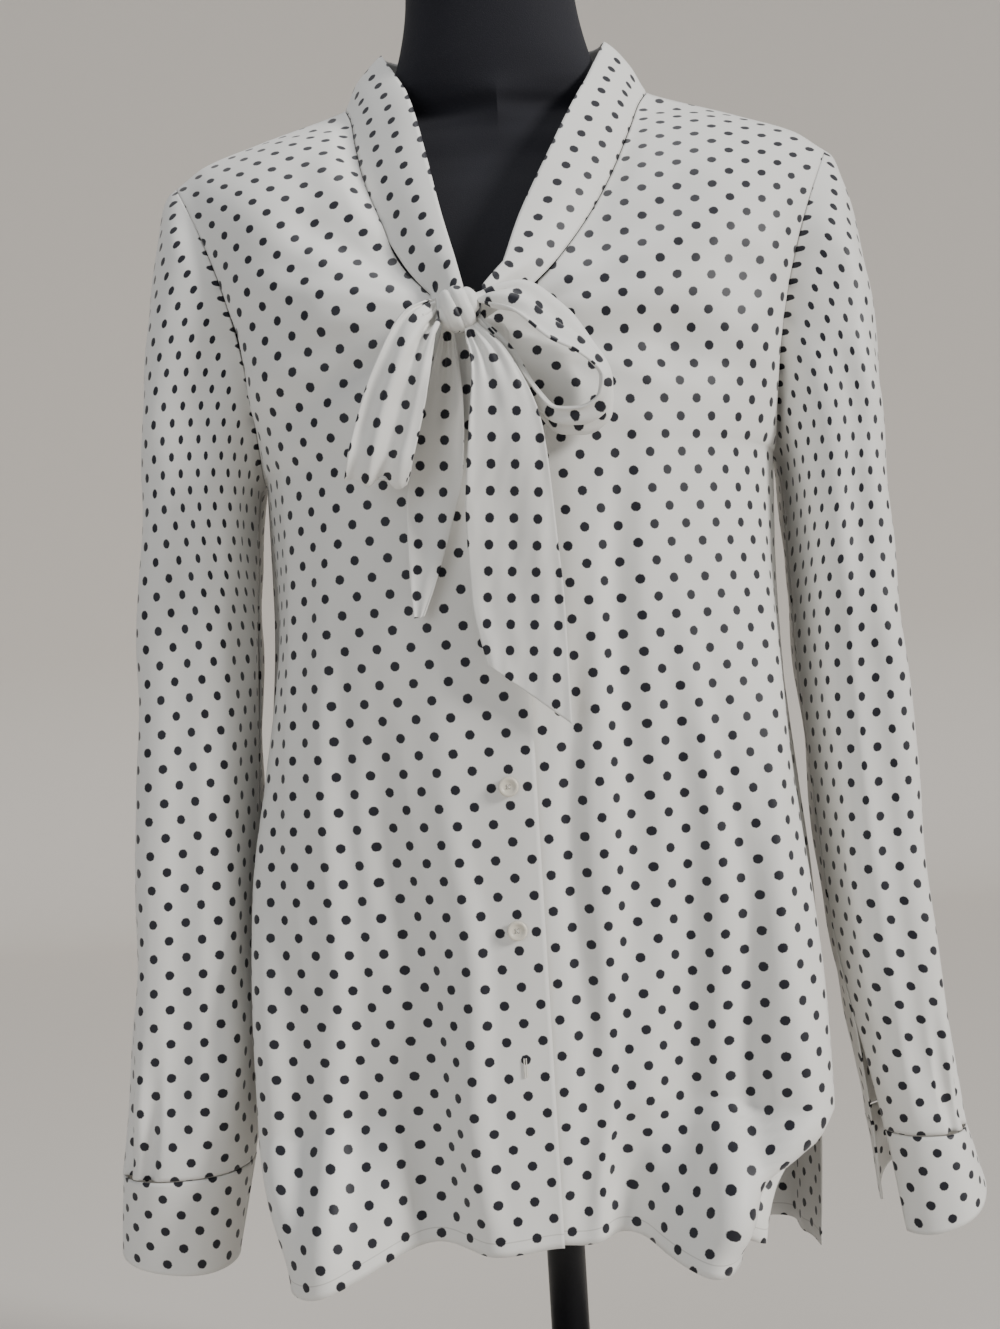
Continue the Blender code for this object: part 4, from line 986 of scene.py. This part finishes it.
def build_bow(material):
    for name, rows, pleats, gathers in (
        ("bow_tail_left", TAIL_RIGHT, TAIL_PLEATS, 0.0012),
        ("bow_tail_right", TAIL_LEFT, TAIL_PLEATS, 0.0010),
        ("bow_loop_left", LOOP_RIGHT, LOOP_PLEATS, 0.0017),
        ("bow_loop_right", LOOP_LEFT, LOOP_PLEATS, 0.0024),
    ):
        alongs = np.linspace(0, 1, 140)
        acrosses = np.linspace(0, 1, 44)
        grid = ribbon_surface(rows, alongs, acrosses, pleats)
        across, along = strip_lengths(grid)
        u, v = across, along
        if rows in (TAIL_LEFT, TAIL_RIGHT):
            lean = math.radians(-5)
            u = 1.1 * (grid[..., 0] * math.cos(lean) + grid[..., 2] * math.sin(lean))
            v = grid[..., 2] * math.cos(lean) - grid[..., 0] * math.sin(lean)
        normal = grid_normals(grid)
        near_knot = smooth((0.35 - alongs) / 0.35)
        if rows in (LOOP_LEFT, LOOP_RIGHT):
            near_knot = near_knot + smooth((alongs - 0.65) / 0.35)
        wave = np.sin(2 * np.pi * 3.0 * acrosses + 0.8)[None, :] * near_knot[:, None]
        soft = noise_field(across / 0.016, along / 0.05, CREASE_SEED + 61)
        crumple = noise_field(across / 0.007 + along / 0.03, along / 0.022, CREASE_SEED + 71)
        fade = (smooth(acrosses / 0.1) * smooth((1 - acrosses) / 0.1))[None, :]
        start = smooth(alongs / 0.05)[:, None]
        grid = grid + normal * ((gathers * wave + 0.0014 * soft + 0.0006 * crumple) * fade * start)[..., None]
        piece = cloth_piece(f"cloth_{name}", grid, u, v, material, name, True, wall=RIBBON_CLOTH)
        declare(grid)


def build_knot(material):
    """The knot: a round pad of wrapped cloth with slanting furrows between its layers."""
    rings, around = 48, 72
    theta = np.linspace(0.02, np.pi - 0.02, rings)
    phi = np.linspace(0, 2 * np.pi, around + 1)
    t, p = np.meshgrid(theta, phi, indexing="ij")
    x, y, z = np.sin(t) * np.cos(p), np.sin(t) * np.sin(p), np.cos(t)
    slant = x + 0.45 * z
    furrow = 1 - 0.15 * (0.5 + 0.5 * np.cos(8.5 * slant + 0.6)) ** 3 * (1 - 0.4 * z * z)
    square = (np.abs(x) ** 2.6 + np.abs(y) ** 2.6 + np.abs(z) ** 2.6) ** (-1 / 2.6)
    lump = 1 + 0.04 * noise_field(2.2 * x + 3, 2.2 * z + y, CREASE_SEED)
    shape = np.stack([x, y, z], 2) * (furrow * square * lump)[..., None]
    grid = np.array(KNOT_CENTRE) + shape * np.array(KNOT_RADII)
    u = p * KNOT_RADII[0]
    v = t * KNOT_RADII[2]
    cloth_piece("cloth_bow_knot", grid, u, v, material, "bow_knot", False, wall=0.001)


def build_buttons(material, thread, dark):
    over = front_panel(-1, np.linspace(0, 0.2, 15), np.linspace(0, 0.745, 160)).reshape(-1, 3)
    profile = ((0.0, 0.0012), (0.45, 0.0012), (0.60, 0.0016), (0.74, 0.0022), (0.88, 0.0023), (0.97, 0.0018))
    profile += ((1.0, 0.0011), (0.95, 0.0004), (0.85, 0.0), (0.0, 0.0))
    hole_shade_profile = ((0, 0.00128), (0.0005, 0.00128), (0.00055, 0.0011), (0, 0.0011))
    upright = Matrix.Rotation(math.pi / 2, 4, "X")
    for i in range(BUTTON_COUNT):
        z = LOWEST_BUTTON_Z + i * BUTTON_PITCH
        under_it = np.hypot(over[:, 0] - BUTTON_X, over[:, 2] - z) < BUTTON_RADIUS
        y = over[under_it, 1].min() - SEAM_GAP
        mesh = turned_mesh(f"button_face_{i + 1}", [(r * BUTTON_RADIUS, h) for r, h in profile], 64)
        mesh.transform(Matrix.Translation((BUTTON_X, y, z)) @ upright)
        add_piece(f"button_face_{i + 1}", mesh, material, (f"button_{i + 1}",))
        for k in range(4):
            angle = math.pi / 4 + k * math.pi / 2
            ox, oz = 0.0012 * math.cos(angle), 0.0012 * math.sin(angle)
            # Each hole is a thin near-black disc on the button's solid face: painted shade where the hole's
            # depth would be.
            hole_shade = turned_mesh(f"button_hole_shade_{i + 1}_{k + 1}", hole_shade_profile, 16)
            hole_shade.transform(Matrix.Translation((BUTTON_X + ox, y, z + oz)) @ upright)
            add_piece(f"button_hole_shade_{i + 1}_{k + 1}", hole_shade, dark)
        for k, tilt in enumerate((math.pi / 4, -math.pi / 4)):
            stitch = capsule_mesh(f"button_thread_{i + 1}_{k + 1}", 0.00030, 0.0024)
            turn = Matrix.Rotation(tilt, 4, "Y")
            stitch.transform(Matrix.Translation((BUTTON_X, y - 0.00135 - 0.0002 * k, z)) @ turn)
            add_piece(f"button_thread_{i + 1}_{k + 1}", stitch, thread)
    near_hole = np.hypot(over[:, 0] - BUTTON_X, over[:, 2] - BUTTONHOLE_Z) < BUTTON_RADIUS
    y = over[near_hole, 1].min()
    for k, sideways in enumerate((-0.0006, 0.0006)):
        stitch = capsule_mesh(f"buttonhole_{k + 1}", 0.00035, 0.0105)
        place = Matrix.Translation((BUTTON_X + sideways, y, BUTTONHOLE_Z))
        stitch.transform(place @ Matrix.Rotation(math.pi / 2, 4, "Y"))
        add_piece(f"buttonhole_{k + 1}", stitch, thread)


def turned_mesh(name, profile, steps):
    """A solid of revolution about Z through (radius, z) points that start and end on the axis."""
    rings = [(r, z) for r, z in profile if r > 0]
    turns = np.linspace(0, 2 * np.pi, steps, False)
    points = [(r * math.cos(a), r * math.sin(a), z) for r, z in rings for a in turns]
    faces = []
    for r in range(len(rings) - 1):
        for k in range(steps):
            a, b = r * steps + k, r * steps + (k + 1) % steps
            faces.append((a, a + steps, b + steps, b))
    faces.append(tuple(range(steps)))
    last = (len(rings) - 1) * steps
    faces.append(tuple(range(last, last + steps))[::-1])
    mesh = bpy.data.meshes.new(name)
    mesh.from_pydata(points, [], faces)
    return mesh


def capsule_mesh(name, radius, length):
    """A short round thread along X."""
    profile = []
    for end, start, stop in ((-1, 0.3, math.pi / 2), (1, math.pi / 2, math.pi - 0.3)):
        for a in np.linspace(start, stop, 4):
            profile.append((radius * math.sin(a), end * length / 2 - radius * math.cos(a)))
    mesh = turned_mesh(name, profile, 10)
    mesh.transform(Matrix.Rotation(math.pi / 2, 4, "Y"))
    return mesh


def build_form(material):
    """The dress form's cover: the solid's rings, finer."""
    table = np.array(FORM_RINGS)
    levels = np.concatenate([np.linspace(table[0, 0], 0.80, 60), np.linspace(0.80, table[-1, 0], 90)[1:]])
    around = np.linspace(0, 2 * np.pi, 128, endpoint=False)
    rings = []
    for z in levels:
        half_width, front_y, back_y, pointed = curve(FORM_RINGS, z)
        c = np.sign(np.cos(around)) * np.abs(np.cos(around)) ** pointed
        s = np.sign(np.sin(around)) * np.abs(np.sin(around)) ** pointed
        depth = np.where(s < 0, -front_y, back_y)
        rings.append(np.stack([half_width * c, depth * s, np.full_like(c, z)], 1))
    points = [tuple(q) for ring_points in rings for q in ring_points]
    count = len(around)
    faces = []
    for r in range(len(rings) - 1):
        for k in range(count):
            a, b = r * count + k, r * count + (k + 1) % count
            faces.append((a, b, b + count, a + count))
    faces.append(tuple(range(count))[::-1])
    top = (len(rings) - 1) * count
    faces.append(tuple(range(top, top + count)))
    mesh = bpy.data.meshes.new("form_cover")
    mesh.from_pydata(points, [], faces)
    add_piece("form_cover", mesh, material, ("dress_form",))


def build_stand(material):
    profile = ((0.0, 0.0302), (0.0185, 0.0302), (0.0205, 0.0296), (0.0218, 0.0280))
    profile += ((0.0224, 0.0200), (0.0240, 0.0160), (0.0285, 0.0122))
    profile += ((0.0360, 0.0100), (0.0800, 0.0088), (0.1380, 0.0076), (0.1465, 0.0066))
    profile += ((0.1492, 0.0048), (0.1500, 0.0024), (0.1494, 0.0004), (0.1480, 0.0), (0.0, 0.0))
    add_piece("base_plate", turned_mesh("base_plate", profile, 160), material, ("stand_base",))
    pole = ((0.0, POLE_TOP_Z), (0.0112, POLE_TOP_Z), (POLE_RADIUS, POLE_TOP_Z - 0.0008))
    pole += ((POLE_RADIUS, 0.0302), (0.0, 0.0302))
    add_piece("pole_tube", turned_mesh("pole_tube", pole, 64), material, ("stand_pole",))


def build_room():
    """A plain pale wall that curves into a plain pale floor."""
    wall_y, corner, steps = 3.2, 0.60, 24
    line = [(-6.0, -0.0006)]
    for a in np.linspace(0, math.pi / 2, steps):
        line.append((wall_y - corner + corner * math.sin(a), corner - corner * math.cos(a) - 0.0006))
    line.append((wall_y, 4.0))
    points = [(x, y, z) for y, z in line for x in (-6.0, 6.0)]
    faces = [(2 * i, 2 * i + 1, 2 * i + 3, 2 * i + 2) for i in range(len(line) - 1)]
    mesh = bpy.data.meshes.new("studio")
    mesh.from_pydata(points, [], faces)
    mesh.shade_smooth()
    room = bpy.data.objects.new("studio", mesh)
    bpy.context.scene.collection.objects.link(room)
    paint = plain_material("studio_paint", (0.72, 0.675, 0.62), 0.85, spread=0.01, grain_scale=30)
    mesh.materials.append(paint)


def add_light(name, kind, place, energy, colour):
    lamp = bpy.data.lights.new(name, kind)
    lamp.energy = energy
    lamp.color = colour
    made = bpy.data.objects.new(name, lamp)
    made.location = place
    made.rotation_euler = (Vector(LIGHT_AIM) - Vector(place)).to_track_quat("-Z", "Y").to_euler()
    bpy.context.scene.collection.objects.link(made)
    return lamp


def build_lights():
    """A low window on the right as a soft sun, a wide fill on the left, and a lamp overhead."""
    add_light("key", "SUN", (2.1, -1.0, 1.5), 3.0, (1.0, 0.985, 0.955)).angle = math.radians(14)
    add_light("fill", "AREA", (-1.2, -1.8, 1.0), 10, (0.92, 0.96, 1.0)).size = 1.3
    add_light("top", "AREA", (0.1, -0.1, 2.3), 12, (1, 1, 1)).size = 0.9
    world = bpy.data.worlds.new("world")
    bpy.context.scene.world = world
    world.use_nodes = True
    background = world.node_tree.nodes["Background"]
    background.inputs["Color"].default_value = (0.88, 0.93, 1.0, 1)
    background.inputs["Strength"].default_value = 0.20


def build_camera():
    camera = bpy.data.cameras.new("photo_camera")
    camera.sensor_fit = "AUTO"
    camera.sensor_width = 36
    camera.lens = 36 * 1893 / 1329
    made = bpy.data.objects.new("photo_camera", camera)
    made.location = (-0.019, -1.19, 0.525)
    level = Matrix.Rotation(math.radians(90), 4, "X")
    made.rotation_euler = (level @ Matrix.Rotation(math.radians(-3.5), 4, "Z")).to_euler()
    bpy.context.scene.collection.objects.link(made)
    bpy.context.scene.camera = made


def dress_scene():
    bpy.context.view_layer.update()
    straight = cloth_material("dotted_crepe", 45)
    bias = cloth_material("dotted_crepe_bias", 0)
    pearl = plain_material("pearl", (0.74, 0.69, 0.58), 0.28, grain_scale=160, spread=0.08)
    thread = plain_material("thread", (0.72, 0.69, 0.62), 0.80, grain=0.4, grain_scale=2500, spread=0.1)
    # Near-black paint for the discs on the buttons' holes: painted shade for the holes' depth, not a colour
    # of the button.
    dark = plain_material("hole_shade", (0.10, 0.09, 0.08), 0.9)
    jersey = plain_material("jersey", (0.0060, 0.0060, 0.0115), 0.86, sheen=0.03, grain=0.5, grain_scale=1400)
    coat = (0.016, 0.016, 0.018)
    metal = plain_material("powder_coat", coat, 0.42, metallic=0.3, grain=0.25, grain_scale=900)
    build_camera()
    build_fronts(straight)
    build_back(straight)
    build_sleeves(straight)
    build_collar(bias)
    build_bow(bias)
    build_knot(bias)
    build_buttons(pearl, thread, dark)
    build_form(jersey)
    build_stand(metal)
    build_room()
    build_lights()
    bpy.context.view_layer.update()


dress_scene()
